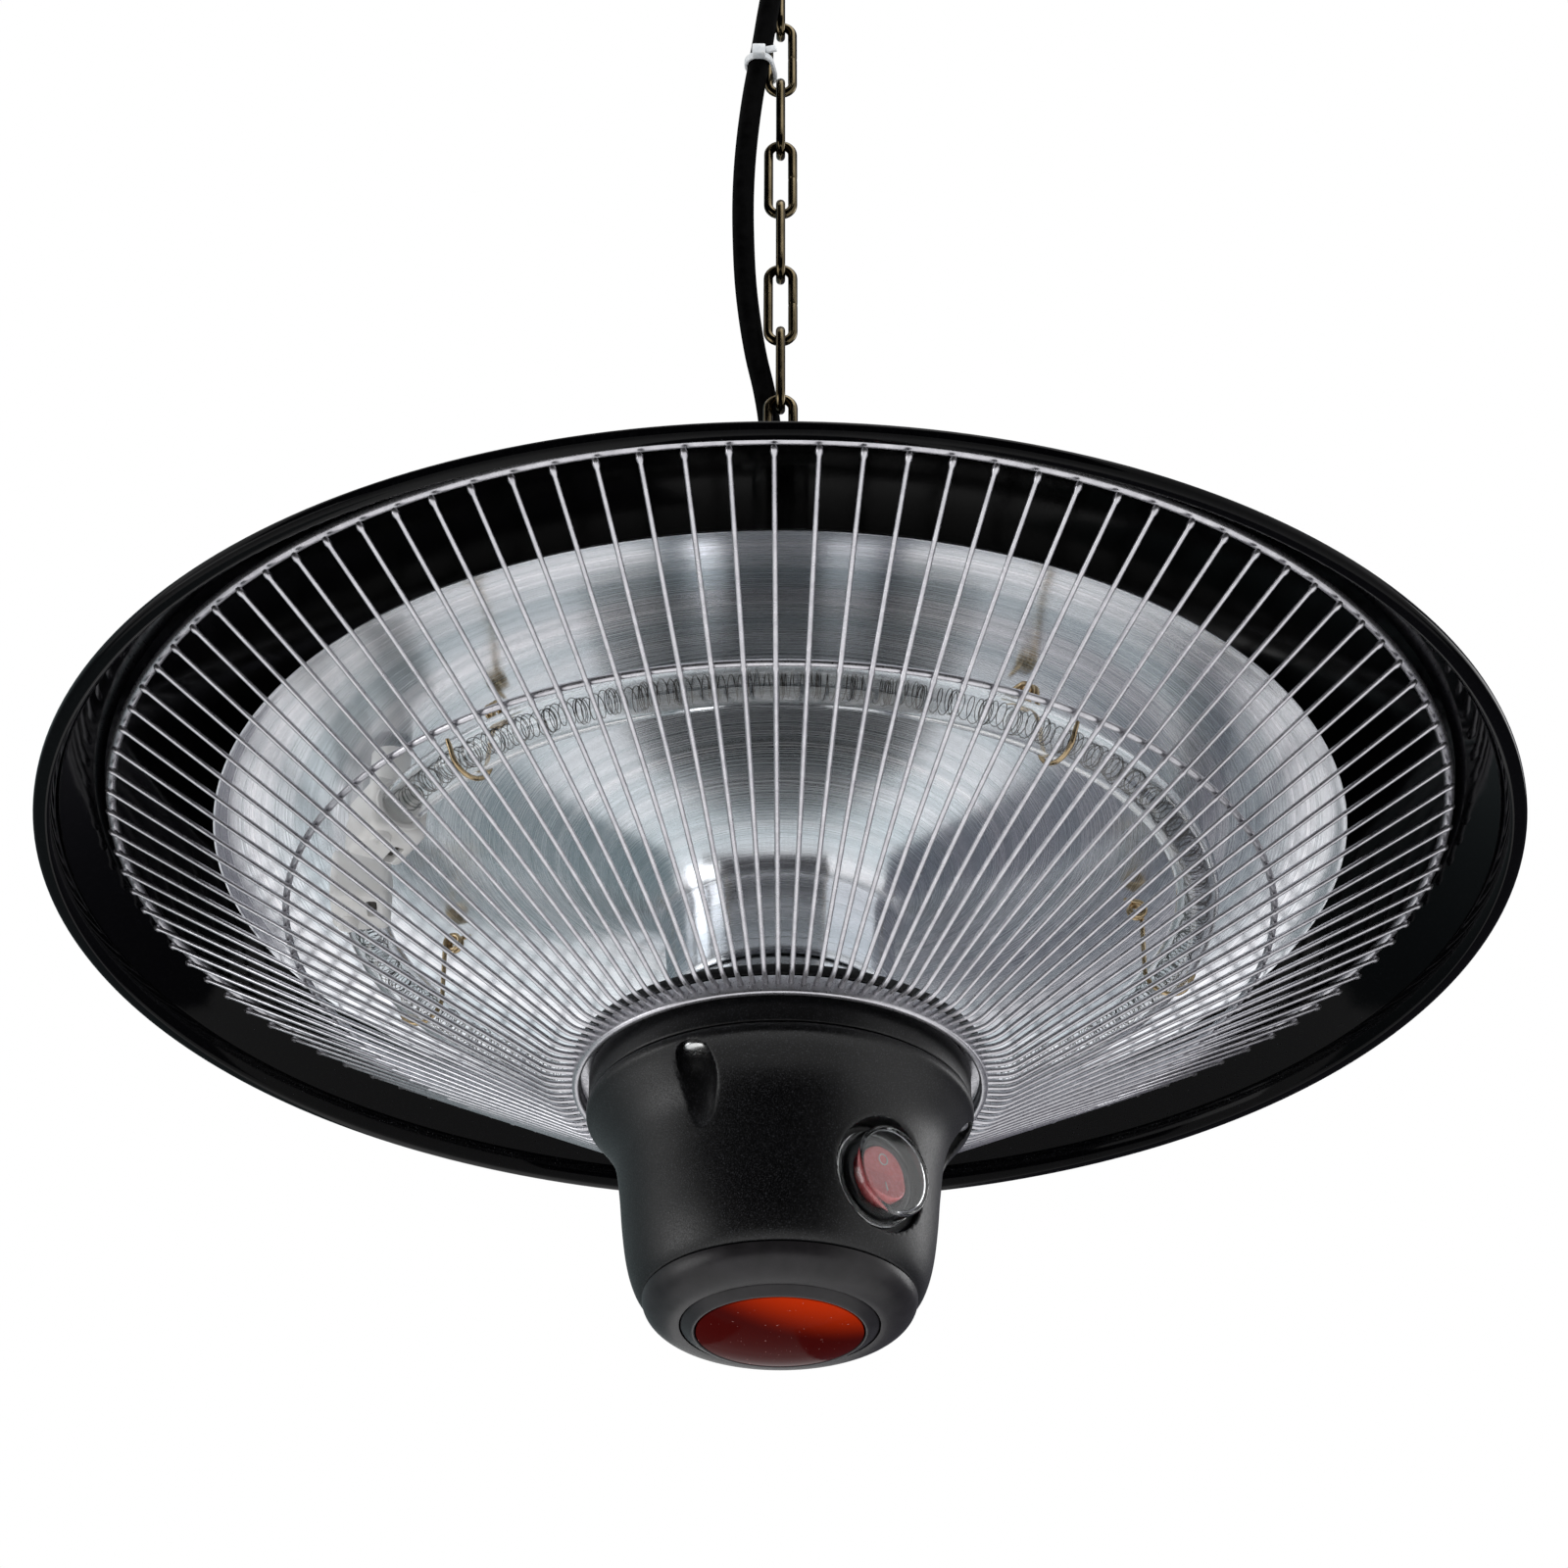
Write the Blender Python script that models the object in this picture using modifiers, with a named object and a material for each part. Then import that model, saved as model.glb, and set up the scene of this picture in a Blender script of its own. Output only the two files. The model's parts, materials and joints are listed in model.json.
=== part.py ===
"""A hanging patio heater: a ring lamp under a spun reflector and a black shade, hung on a chain.

Metres, +Z up. The origin is the inside top of the uppermost chain link, where a hook carries it.
Below the chain, heights named from the rim are measured up from the plane of the shade's rim.
"""

import math

import bmesh
import bpy
import numpy as np
from mathutils import Matrix

# Shared by all pieces
CLEARANCE = 0.0003
WELD = 0.000005
OVERRUN = 0.004
ROUND_ANGLE = math.radians(40)
FULL_TURN = 2 * math.pi

# Chain
LINK_COUNT = 11
LINK_WIRE = 0.003
LINK_INNER_LENGTH = 0.0263
LINK_WIDTH = 0.0108
LINK_ARC_STEPS = 6

# Hanging eye, its nut and the threaded stem that carries the whole heater
EYE_WIRE = 0.0045
EYE_RADIUS = 0.008
EYE_NECK = 0.0014
EYE_SHANK = 0.012
EYE_STEPS = 12
EYE_NUT_RADIUS = 0.0065
EYE_NUT_HEIGHT = 0.0045
STEM_RADIUS = 0.007
STEM_WALL = 0.0015
STEM_TOP_GAP = 0.009
NUT_RADIUS = 0.011
NUT_HEIGHT = 0.006

# Shade
SHADE_RADIUS = 0.2125
SHADE_HEIGHT = 0.08
SHADE_WALL = 0.0012
SHADE_BEAD = 0.0018
SHADE_DOME_RADIUS = 0.2062
SHADE_FLARE_HEIGHT = 0.0045
SHADE_STEPS = 36
DOME_POINTS = 7

# Cap over the shade's centre, and the strain relief on it
CAP_RADIUS = 0.042
CAP_TOP_RADIUS = 0.03
CAP_HEIGHT = 0.0182
CAP_WALL = 0.002
CAP_ROUND = 0.003
GLAND_X = -0.0025
GLAND_Y = 0.017
GLAND_BASE_RADIUS = 0.0085
GLAND_BASE_HEIGHT = 0.0055
GLAND_SHOULDER_RADIUS = 0.0068
GLAND_TIP_RADIUS = 0.0045
GLAND_LENGTH = 0.03
GLAND_GROOVES = 3
GLAND_GROOVE_DEPTH = 0.0006

# Reflector, with its neck, and the sleeve under the neck
REFLECTOR_RADIUS = 0.1618
REFLECTOR_EDGE_HEIGHT = 0.0045
REFLECTOR_CROWN_HEIGHT = 0.0102
REFLECTOR_SHEET = 0.0008
NECK_RADIUS = 0.0335
NECK_TOP_HEIGHT = -0.017
NECK_FOOT_RADIUS = 0.0315
NECK_FOOT_HEIGHT = -0.0435
# across from the neck to the edge, and up from the neck's top to the crown
REFLECTOR_SHARES = [(0.88, 0.94), (0.68, 1.0), (0.42, 0.93), (0.2, 0.68), (0.06, 0.31)]
SLEEVE_RADIUS = 0.03
SLEEVE_WALL = 0.0015
SLEEVE_LENGTH = 0.018

# Lamp: a quartz tube bent to an open ring, with a ceramic holder at each end
LAMP_RING_RADIUS = 0.119
LAMP_HEIGHT = -0.0135
LAMP_TUBE_RADIUS = 0.0062
LAMP_TUBE_WALL = 0.0011
LAMP_GAP_CENTRE = math.radians(196)
LAMP_HALF_GAP = math.radians(14)
LAMP_STEPS = 24
LAMP_STRAIGHT_END = 0.003
HEATING_CORE_RADIUS = 0.0032
HOLDER_LENGTH = 0.019
HOLDER_WIDTH = 0.0165
HOLDER_HEIGHT = 0.0165
HOLDER_BEVEL = 0.002
HOLDER_POST_RADIUS = 0.0055
CLIP_WIRE = 0.0014
CLIP_WRAP_STEPS = 5
CLIP_FOOT = 0.006
CLIP_AT_STEPS = (1, 7, 12, 22)

# Guard: radial wires welded on a pressed hub, with two rings lying on them
WIRE_COUNT = 108
WIRE_RADIUS = 0.0007
GUARD_TURN = math.radians(1.27)
GUARD_RING_RADIUS = 0.1918
GUARD_RING_WIRE = 0.0015
GUARD_RING_HEIGHT = 0.0112
MIDDLE_RING_RADIUS = 0.1402
MIDDLE_RING_WIRE = 0.001
RING_STEPS = 42
HUB_RADIUS = 0.0579
HUB_TOP_HEIGHT = -0.0655
HUB_DEPTH = 0.0054
HUB_WALL = 0.0016
HUB_ROUND = 0.0011
HUB_STEPS = WIRE_COUNT // 2
WIRE_TIP_DEPTH = 0.0008
WIRE_DROP = 0.0023
WIRE_BEND_RADIUS_OUT = 0.0066
WIRE_OVERHANG = 0.0012
PLATE_THICKNESS = 0.003

# Housing: collar, bell, bottom dome, lens ring and lens
COLLAR_RADIUS = 0.0532
COLLAR_BORE = 0.0385
COLLAR_HEIGHT = 0.0094
BELL_RADIUS = 0.0538
BELL_HEIGHT = 0.0563
BELL_FOOT_RADIUS = 0.0378
BELL_TOP_BORE = 0.0385
BELL_FOOT_BORE = 0.0315
# out from the foot to the lip, and up from the foot to the lip
BELL_SHARES = [
    (1.0, 0.977), (0.922, 0.93), (0.765, 0.87), (0.586, 0.79), (0.474, 0.71), (0.388, 0.54),
    (0.331, 0.36), (0.256, 0.2), (0.175, 0.105), (0.075, 0.035),
]  # fmt: skip
BASE_GAP = 0.0005
BASE_LENGTH = 0.0076
BASE_FOOT_RADIUS = 0.0272
BASE_WALL = 0.0026
LENS_RING_BORE = 0.0229
LENS_RING_BELOW = 0.002
LENS_RING_HEIGHT = 0.0046
LENS_EDGE = 0.0028
LENS_BULGE = 0.0035
LENS_POINTS = 3
HOUSING_STEPS = 30
SCREW_COUNT = 3
SCREW_FIRST_ANGLE = math.radians(242.7)
SCREW_CIRCLE = 0.0485
SCREW_HEAD_RADIUS = 0.0038
SCREW_HEAD_HEIGHT = 0.0024
SCREW_SHANK_RADIUS = 0.00175
SCREW_SHANK_LENGTH = 0.0095
SCREW_RECESS_RADIUS = 0.0054
SCREW_RECESS_TOP = 0.0016
SCREW_RECESS_LENGTH = 0.026

# Switch, in a round pocket on the bell
SWITCH_ANGLE = math.radians(-48)
SWITCH_DROP = 0.0344
POCKET_RADIUS = 0.0155
POCKET_FLOOR = 0.037
SWITCH_BARREL_RADIUS = 0.0097
SWITCH_BARREL_LENGTH = 0.017
BEZEL_RADIUS = 0.0112
BEZEL_HEIGHT = 0.0024
ROCKER_RADIUS = 0.0086
ROCKER_WELL_DEPTH = 0.0042
ROCKER_BACK = 0.0016
ROCKER_DEPTH = 0.0036
ROCKER_THROW = math.radians(8)
COVER_RADIUS = 0.0135
COVER_FLANGE = 0.0014
COVER_BODY_RADIUS = 0.0127
COVER_HEIGHT = 0.0086
COVER_WALL = 0.001
COVER_ROUND = 0.0012

# Electrics inside the housing, and the cable from the strain relief down to them
BOARD_DROP = 0.0505
BOARD_THICKNESS = 0.0016
RECEIVER_RADIUS = 0.0028
RECEIVER_HEIGHT = 0.0055
TERMINAL_LENGTH = 0.022
TERMINAL_WIDTH = 0.012
TERMINAL_HEIGHT = 0.01
TERMINAL_BEVEL = 0.001
CABLE_RADIUS = 0.0035
CABLE_HOLE = 0.0039
CABLE_SEGMENTS = 7

# Mains cord. The points of its free stretch are chosen by hand, in metres in the part's own frame.
CORD_DIAMETER = 0.007
CORD_LIFT = [
    (-0.0025, 0.017, -0.2753), (-0.0025, 0.017, -0.2679), (-0.0026, 0.0155, -0.2579),
    (-0.0028, 0.012, -0.2469), (-0.0034, 0.0088, -0.2359), (-0.0052, 0.0066, -0.2239),
    (-0.0077, 0.0050, -0.2119), (-0.0098, 0.0035, -0.1979), (-0.0112, 0.0020, -0.1839),
    (-0.0119, 0.0, -0.1689), (-0.0121, -0.0016, -0.1539), (-0.0116, -0.0031, -0.1389),
    (-0.0104, -0.0045, -0.1239), (-0.0088, -0.0056, -0.1099), (-0.0072, -0.0062, -0.0989),
    (-0.0058, -0.0067, -0.0889), (-0.0043, -0.0079, -0.0779), (-0.0027, -0.0094, -0.0679),
    (-0.0010, -0.0100, -0.0579), (0.0014, -0.0097, -0.0479), (0.0040, -0.0080, -0.0379),
    (0.0062, -0.0057, -0.0289),
]  # fmt: skip
PLUG_LEAD = [
    (0.0116, 0.0066, 0.0165), (0.0172, 0.0095, 0.0219), (0.0246, 0.0117, 0.0267),
    (0.0345, 0.0148, 0.0320), (0.0440, 0.0198, 0.0365), (0.0520, 0.0242, 0.0392),
    (0.0590, 0.0256, 0.0400), (0.0630, 0.0256, 0.0400),
]  # fmt: skip
CORD_STEP = 0.0175
COIL_X = 0.0573
COIL_HEIGHT = -0.006
COIL_TURNS = 6
COIL_PITCH = 0.0076
COIL_INNER_RADIUS = 0.027
COIL_LOOP_POINTS = 24
COIL_LEAD = CORD_DIAMETER
TIE_WIRE = 0.0009
TIE_HEIGHT = -0.0985
TIE_STEPS = 8
PLUG_TIE_STEPS = 2
TIE_HEAD = 0.0044
PLUG_FACE_RADIUS = 0.018
PLUG_BACK_RADIUS = 0.0048
PLUG_LENGTH = 0.043
# along the plug from its cable end, and out from its back radius to its face radius
PLUG_SHARES = [(0.3, 0.1), (0.48, 0.26), (0.56, 0.62), (0.64, 0.93), (0.72, 1.0), (0.97, 1.0)]
PLUG_PIN_RADIUS = 0.0024
PLUG_PIN_LENGTH = 0.019
PLUG_PIN_SPACING = 0.019

# Worked out from the sizes above
LINK_CENTRE_LENGTH = LINK_INNER_LENGTH + LINK_WIRE
LINK_PITCH = LINK_INNER_LENGTH - CLEARANCE
LINK_BEND = (LINK_WIDTH - LINK_WIRE) / 2
FIRST_PIVOT = LINK_WIRE / 2 - LINK_CENTRE_LENGTH
HEATER_PIVOT = FIRST_PIVOT - (LINK_COUNT - 1) * LINK_PITCH
CAP_FOOT = SHADE_HEIGHT + CLEARANCE
CAP_TOP = CAP_FOOT + CAP_HEIGHT
EYE_CENTRE = CAP_TOP + CLEARANCE + EYE_NUT_HEIGHT + EYE_NECK + EYE_RADIUS
PIVOT_ABOVE_RIM = EYE_CENTRE + EYE_RADIUS - EYE_WIRE / 2 - CLEARANCE - LINK_WIRE / 2
RIM = HEATER_PIVOT - PIVOT_ABOVE_RIM
SLEEVE_TOP = NECK_FOOT_HEIGHT - CLEARANCE
PLATE_TOP = SLEEVE_TOP - SLEEVE_LENGTH - CLEARANCE
HUB_PLATE_BELOW = HUB_TOP_HEIGHT - HUB_WALL
COLLAR_TOP = HUB_PLATE_BELOW - CLEARANCE
COLLAR_FOOT = COLLAR_TOP - COLLAR_HEIGHT
BELL_TOP = COLLAR_FOOT - CLEARANCE
BELL_FOOT = BELL_TOP - BELL_HEIGHT
BASE_TOP = BELL_FOOT - CLEARANCE
BASE_FOOT = BASE_TOP - BASE_LENGTH
LENS_RING_FOOT = BASE_FOOT - LENS_RING_BELOW
STEM_HOLE = STEM_RADIUS + CLEARANCE
STEM_TOP = CAP_TOP - CAP_WALL - STEM_TOP_GAP
STEM_FOOT = HUB_PLATE_BELOW - NUT_HEIGHT - CLEARANCE
WIRE_SLOPE_TOP = GUARD_RING_HEIGHT - GUARD_RING_WIRE - WIRE_RADIUS - WIRE_OVERHANG
SWITCH_HEIGHT = BELL_TOP - SWITCH_DROP
CABLE_FOOT = BELL_TOP - BOARD_DROP + CLEARANCE * 2 + TERMINAL_HEIGHT

COLOURS = {
    "black_gloss": ((0.006, 0.006, 0.008), 0.12, 0.0),
    "black_plastic": ((0.02, 0.02, 0.024), 0.5, 0.0),
    "spun_aluminium": ((0.83, 0.84, 0.86), 0.22, 1.0),
    "silver_paint": ((0.52, 0.52, 0.56), 0.35, 0.8),
    "steel": ((0.6, 0.6, 0.6), 0.3, 1.0),
    "bronze_chain": ((0.22, 0.18, 0.11), 0.35, 1.0),
    "quartz": ((0.85, 0.87, 0.88), 0.05, 0.0),
    "heating_wire": ((0.4, 0.38, 0.36), 0.4, 1.0),
    "ceramic": ((0.87, 0.84, 0.8), 0.4, 0.0),
    "spring_wire": ((0.45, 0.3, 0.14), 0.35, 1.0),
    "rubber": ((0.01, 0.01, 0.01), 0.45, 0.0),
    "clear_plastic": ((0.8, 0.82, 0.83), 0.08, 0.0),
    "red_plastic": ((0.75, 0.1, 0.09), 0.3, 0.0),
    "red_lens": ((0.5, 0.03, 0.02), 0.06, 0.0),
    "board_green": ((0.03, 0.2, 0.08), 0.5, 0.0),
    "nylon": ((0.86, 0.88, 0.9), 0.3, 0.0),
    "brass": ((0.75, 0.56, 0.25), 0.3, 1.0),
}


def start_scene():
    """Empties the scene and makes the two collections."""
    for old in list(bpy.data.objects):
        bpy.data.objects.remove(old)
    for name in ("hanging_patio_heater", "cutters"):
        bpy.context.scene.collection.children.link(bpy.data.collections.new(name))


def material(name):
    """The named material, made on its first use."""
    found = bpy.data.materials.get(name)
    if found:
        return found
    colour, roughness, metallic = COLOURS[name]
    made = bpy.data.materials.new(name)
    made.use_nodes = True
    surface = made.node_tree.nodes["Principled BSDF"]
    surface.inputs["Base Color"].default_value = (*colour, 1)
    surface.inputs["Roughness"].default_value = roughness
    surface.inputs["Metallic"].default_value = metallic
    return made


def add_object(name, data, parent=None, place=(0, 0, 0), turn=(0, 0, 0), finish=None, cutter=False):
    """Puts data in the scene as an object, in the model's collection or among the cutters."""
    made = bpy.data.objects.new(name, data)
    bpy.data.collections["cutters" if cutter else "hanging_patio_heater"].objects.link(made)
    made.parent = parent
    made.location = place
    made.rotation_euler = turn
    if finish:
        data.materials.append(material(finish))
    if cutter:
        made.hide_render = True
        made.display_type = "WIRE"
    return made


def pivot(name, parent, height_below_parent):
    """An empty on a joint's axis, under the empty above it."""
    made = bpy.data.objects.new(name, None)
    bpy.data.collections["hanging_patio_heater"].objects.link(made)
    made.parent = parent
    made.location = (0, 0, height_below_parent)
    return made


def turned_mesh(outline, closed):
    """The outline of (radius, height) points as a line of edges at +X."""
    mesh = bpy.data.meshes.new("outline")
    count = len(outline)
    edges = [(i, (i + 1) % count) for i in range(count if closed else count - 1)]
    mesh.from_pydata([(radius, 0, height) for radius, height in outline], edges, [])
    return mesh


def turned(name, outline, steps, closed=True, **placing):
    """A turned piece. A closed outline goes round the section, an open one from axis to axis.

    Either runs down its outer side, from top to bottom.
    """
    made = add_object(name, turned_mesh(outline, closed), **placing)
    screw = made.modifiers.new("turn", "SCREW")
    screw.steps = steps
    screw.render_steps = steps
    screw.use_smooth_shade = True
    screw.use_merge_vertices = True
    screw.merge_threshold = WELD
    return made


def tube(name, points, radius, sides, cyclic=False, **placing):
    """A round wire or tube along points, with closed ends. It has 6, 8 or more sides."""
    curve = bpy.data.curves.new(name, "CURVE")
    curve.dimensions = "3D"
    curve.bevel_depth = radius
    curve.bevel_resolution = sides // 2 - 2
    curve.use_fill_caps = not cyclic
    line = curve.splines.new("POLY")
    line.points.add(len(points) - 1)
    for spot, point in zip(line.points, points):
        spot.co = (*point, 1)
    line.use_cyclic_u = cyclic
    line.use_smooth = True
    return add_object(name, curve, **placing)


def weld(mesh):
    """Joins a mesh's loose caps to its walls and turns its faces outward."""
    work = bmesh.new()
    work.from_mesh(mesh)
    bmesh.ops.remove_doubles(work, verts=work.verts, dist=WELD)
    bmesh.ops.recalc_face_normals(work, faces=work.faces)
    work.to_mesh(mesh)
    work.free()
    mesh.shade_smooth()
    mesh.set_sharp_from_angle(angle=ROUND_ANGLE)


def as_mesh(curve):
    """Replaces a curve object by a mesh object of the same shape, name and place."""
    bpy.context.view_layer.update()
    graph = bpy.context.evaluated_depsgraph_get()
    mesh = bpy.data.meshes.new_from_object(curve.evaluated_get(graph))
    weld(mesh)
    name, parent, home = curve.name, curve.parent, curve.users_collection[0]
    matrix = curve.matrix_world.copy()
    wire, hidden = curve.display_type, curve.hide_render
    bpy.data.objects.remove(curve)
    made = bpy.data.objects.new(name, mesh)
    home.objects.link(made)
    made.parent = parent
    made.matrix_world = matrix
    made.display_type = wire
    made.hide_render = hidden
    return made


def round_bar(name, radius, foot, top, segments, **placing):
    """A straight cylinder on the local Z axis, from foot to top."""
    work = bmesh.new()
    bmesh.ops.create_cone(
        work, cap_ends=True, segments=segments, radius1=radius, radius2=radius, depth=top - foot
    )
    bmesh.ops.translate(work, verts=work.verts, vec=(0, 0, (foot + top) / 2))
    mesh = bpy.data.meshes.new(name)
    work.to_mesh(mesh)
    work.free()
    mesh.shade_smooth()
    mesh.set_sharp_from_angle(angle=ROUND_ANGLE)
    return add_object(name, mesh, **placing)


def block(name, size, centre, bevel=0.0, **placing):
    """A box of size (x, y, z) round centre, with its edges rounded by bevel."""
    work = bmesh.new()
    bmesh.ops.create_cube(work, size=1)
    bmesh.ops.scale(work, verts=work.verts, vec=size)
    bmesh.ops.translate(work, verts=work.verts, vec=centre)
    mesh = bpy.data.meshes.new(name)
    work.to_mesh(mesh)
    work.free()
    made = add_object(name, mesh, **placing)
    if bevel:
        edge = made.modifiers.new("round", "BEVEL")
        edge.width = bevel
        edge.segments = 1
    return made


def combine(target, tool, operation):
    """Cuts tool from target, or joins it on, by an exact Boolean."""
    change = target.modifiers.new(operation.lower(), "BOOLEAN")
    change.operation = operation
    change.solver = "EXACT"
    change.object = tool


def arc(centre, radius, start, end, steps):
    """Points on an arc in the plane of an outline, ends included, angles from +X towards +Z."""
    angles = [start + (end - start) * i / steps for i in range(steps + 1)]
    return [(centre[0] + radius * math.cos(a), centre[1] + radius * math.sin(a)) for a in angles]


def on_circle(radius, angle, height):
    """The point at an angle on a level circle round the axis."""
    return (radius * math.cos(angle), radius * math.sin(angle), height)


def ring_points(radius, height, steps):
    """The corners of a level ring."""
    return [on_circle(radius, FULL_TURN * i / steps, height) for i in range(steps)]


def smooth_path(points, step):
    """Points about one step apart on a smooth curve through the given points."""
    known = np.array(points, float)
    gaps = np.linalg.norm(np.diff(known, axis=0), axis=1) ** 0.5
    knots = np.concatenate([[0], np.cumsum(gaps)])
    before = 2 * known[0] - known[1]
    after = 2 * known[-1] - known[-2]
    known = np.vstack([before, known, after])
    knots = np.concatenate([[2 * knots[0] - knots[1]], knots, [2 * knots[-1] - knots[-2]]])
    fine = []
    for i in range(1, len(known) - 2):
        for share in np.linspace(0, 1, 12, endpoint=False):
            t = knots[i] + share * (knots[i + 1] - knots[i])
            a = [
                known[j] + (known[j + 1] - known[j]) * (t - knots[j]) / (knots[j + 1] - knots[j])
                for j in (i - 1, i, i + 1)
            ]
            b = [
                a[j] + (a[j + 1] - a[j]) * (t - knots[i - 1 + j]) / (knots[i + 1 + j] - knots[i - 1 + j])
                for j in (0, 1)
            ]
            fine.append(b[0] + (b[1] - b[0]) * (t - knots[i]) / (knots[i + 1] - knots[i]))
    fine = np.array([*fine, known[-2]])
    along = np.concatenate([[0], np.cumsum(np.linalg.norm(np.diff(fine, axis=0), axis=1))])
    count = max(2, round(along[-1] / step))
    wanted = np.linspace(0, along[-1], count + 1)
    return [tuple(np.interp(w, along, fine[:, axis]) for axis in range(3)) for w in wanted]


def link_points(upright_axis):
    """The closed centreline of a link, its origin on the wire it hangs from.

    upright_axis is 0 for a link in the XZ plane and 1 for one in the YZ plane.
    """
    top = LINK_WIRE + CLEARANCE - LINK_BEND
    foot = top + 2 * LINK_BEND - LINK_CENTRE_LENGTH
    outline = arc((0, top), LINK_BEND, 0, math.pi, LINK_ARC_STEPS)
    outline += arc((0, foot), LINK_BEND, math.pi, FULL_TURN, LINK_ARC_STEPS)
    if upright_axis == 0:
        return [(across, 0, height) for across, height in outline]
    return [(0, across, height) for across, height in outline]


def make_chain():
    """The links, each under an empty on the wire of the link above. Returns the pivots by number."""
    root = pivot("hook_point", None, 0)
    pivots = {1: root}
    lift = LINK_WIRE / 2 - LINK_WIRE - CLEARANCE
    top_link = tube(
        "chain_link_01", link_points(1), LINK_WIRE / 2, 6, cyclic=True,
        parent=root, place=(0, 0, lift), finish="bronze_chain",
    )  # fmt: skip
    for number in range(2, LINK_COUNT + 1):
        drop = FIRST_PIVOT if number == 2 else -LINK_PITCH
        pivots[number] = pivot(f"link_{number:02d}_pivot", pivots[number - 1], drop)
        tube(
            f"chain_link_{number:02d}", link_points(number % 2), LINK_WIRE / 2, 6, cyclic=True,
            parent=pivots[number], finish="bronze_chain",
        )  # fmt: skip
    return root, pivots, top_link


def make_hanger(heater):
    """The bent eye, its nut, the stem, and the nuts that clamp the stack on the stem."""
    on_rim = {"parent": heater, "place": (0, 0, -PIVOT_ABOVE_RIM)}
    gap_angle = math.atan2(EYE_WIRE + CLEARANCE * 2, EYE_RADIUS)
    loop = arc(
        (0, EYE_CENTRE), EYE_RADIUS, -math.pi / 2, 1.5 * math.pi - gap_angle, EYE_STEPS
    )
    shank_foot = CAP_TOP - EYE_SHANK
    points = [(0, 0, shank_foot)] + [(across, 0, height) for across, height in loop]
    tube("hanging_eye", points, EYE_WIRE / 2, 6, finish="steel", **on_rim)
    hexagon_nut("eye_nut", EYE_NUT_RADIUS, EYE_WIRE / 2, CAP_TOP + CLEARANCE, EYE_NUT_HEIGHT, on_rim)
    outer, inner = STEM_RADIUS, STEM_RADIUS - STEM_WALL
    turned(
        "stem_tube",
        [(outer, STEM_TOP), (outer, STEM_FOOT), (inner, STEM_FOOT), (inner, STEM_TOP)],
        12, finish="steel", **on_rim,
    )  # fmt: skip
    shade_below = SHADE_HEIGHT - SHADE_WALL
    hexagon_nut("shade_nut", NUT_RADIUS, STEM_RADIUS, shade_below - CLEARANCE - NUT_HEIGHT, NUT_HEIGHT, on_rim)
    neck_above = NECK_FOOT_HEIGHT + REFLECTOR_SHEET + CLEARANCE
    hexagon_nut("reflector_nut", NUT_RADIUS, STEM_RADIUS, neck_above, NUT_HEIGHT, on_rim)
    hexagon_nut("hub_nut", NUT_RADIUS, STEM_RADIUS, HUB_PLATE_BELOW - CLEARANCE - NUT_HEIGHT, NUT_HEIGHT, on_rim)


def hexagon_nut(name, radius, bore, foot, height, placing):
    """A plain hexagon nut whose foot is at a height from the rim."""
    nut = round_bar(name, radius, foot, foot + height, 6, finish="steel", **placing)
    hole = round_bar(
        name + "_bore", bore + CLEARANCE, foot - OVERRUN, foot + height + OVERRUN, 12,
        cutter=True, **placing,
    )  # fmt: skip
    combine(nut, hole, "DIFFERENCE")


def dome(radius, height, hole):
    """Points on a shallow dome, part of a sphere, from its hole out to its edge, at height 0."""
    sphere = (radius**2 + height**2) / (2 * height)
    first, last = math.asin(hole / sphere), math.asin(radius / sphere)
    points = []
    for i in range(DOME_POINTS + 1):
        angle = first + (last - first) * i / DOME_POINTS
        points.append((sphere * math.sin(angle), height - sphere * (1 - math.cos(angle))))
    return points


def make_shade(heater, cable_drill):
    """The shade: a shallow spun dome whose rim flares out into a rolled bead."""
    rise = SHADE_HEIGHT - SHADE_FLARE_HEIGHT
    outer = [
        (across, SHADE_FLARE_HEIGHT + height)
        for across, height in dome(SHADE_DOME_RADIUS, rise, STEM_HOLE)
    ]
    outer[0] = (STEM_HOLE, SHADE_HEIGHT)
    inner = [
        (across, SHADE_FLARE_HEIGHT + height)
        for across, height in dome(SHADE_DOME_RADIUS - SHADE_WALL, rise - SHADE_WALL, STEM_HOLE)
    ]
    inner[0] = (STEM_HOLE, SHADE_HEIGHT - SHADE_WALL)
    bead = arc((SHADE_RADIUS - SHADE_BEAD, 0), SHADE_BEAD, math.radians(75), math.radians(-165), 3)
    shade = turned(
        "shade", outer + bead + inner[::-1], SHADE_STEPS,
        parent=heater, place=(0, 0, -PIVOT_ABOVE_RIM), finish="black_gloss",
    )  # fmt: skip
    combine(shade, cable_drill, "DIFFERENCE")


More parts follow.
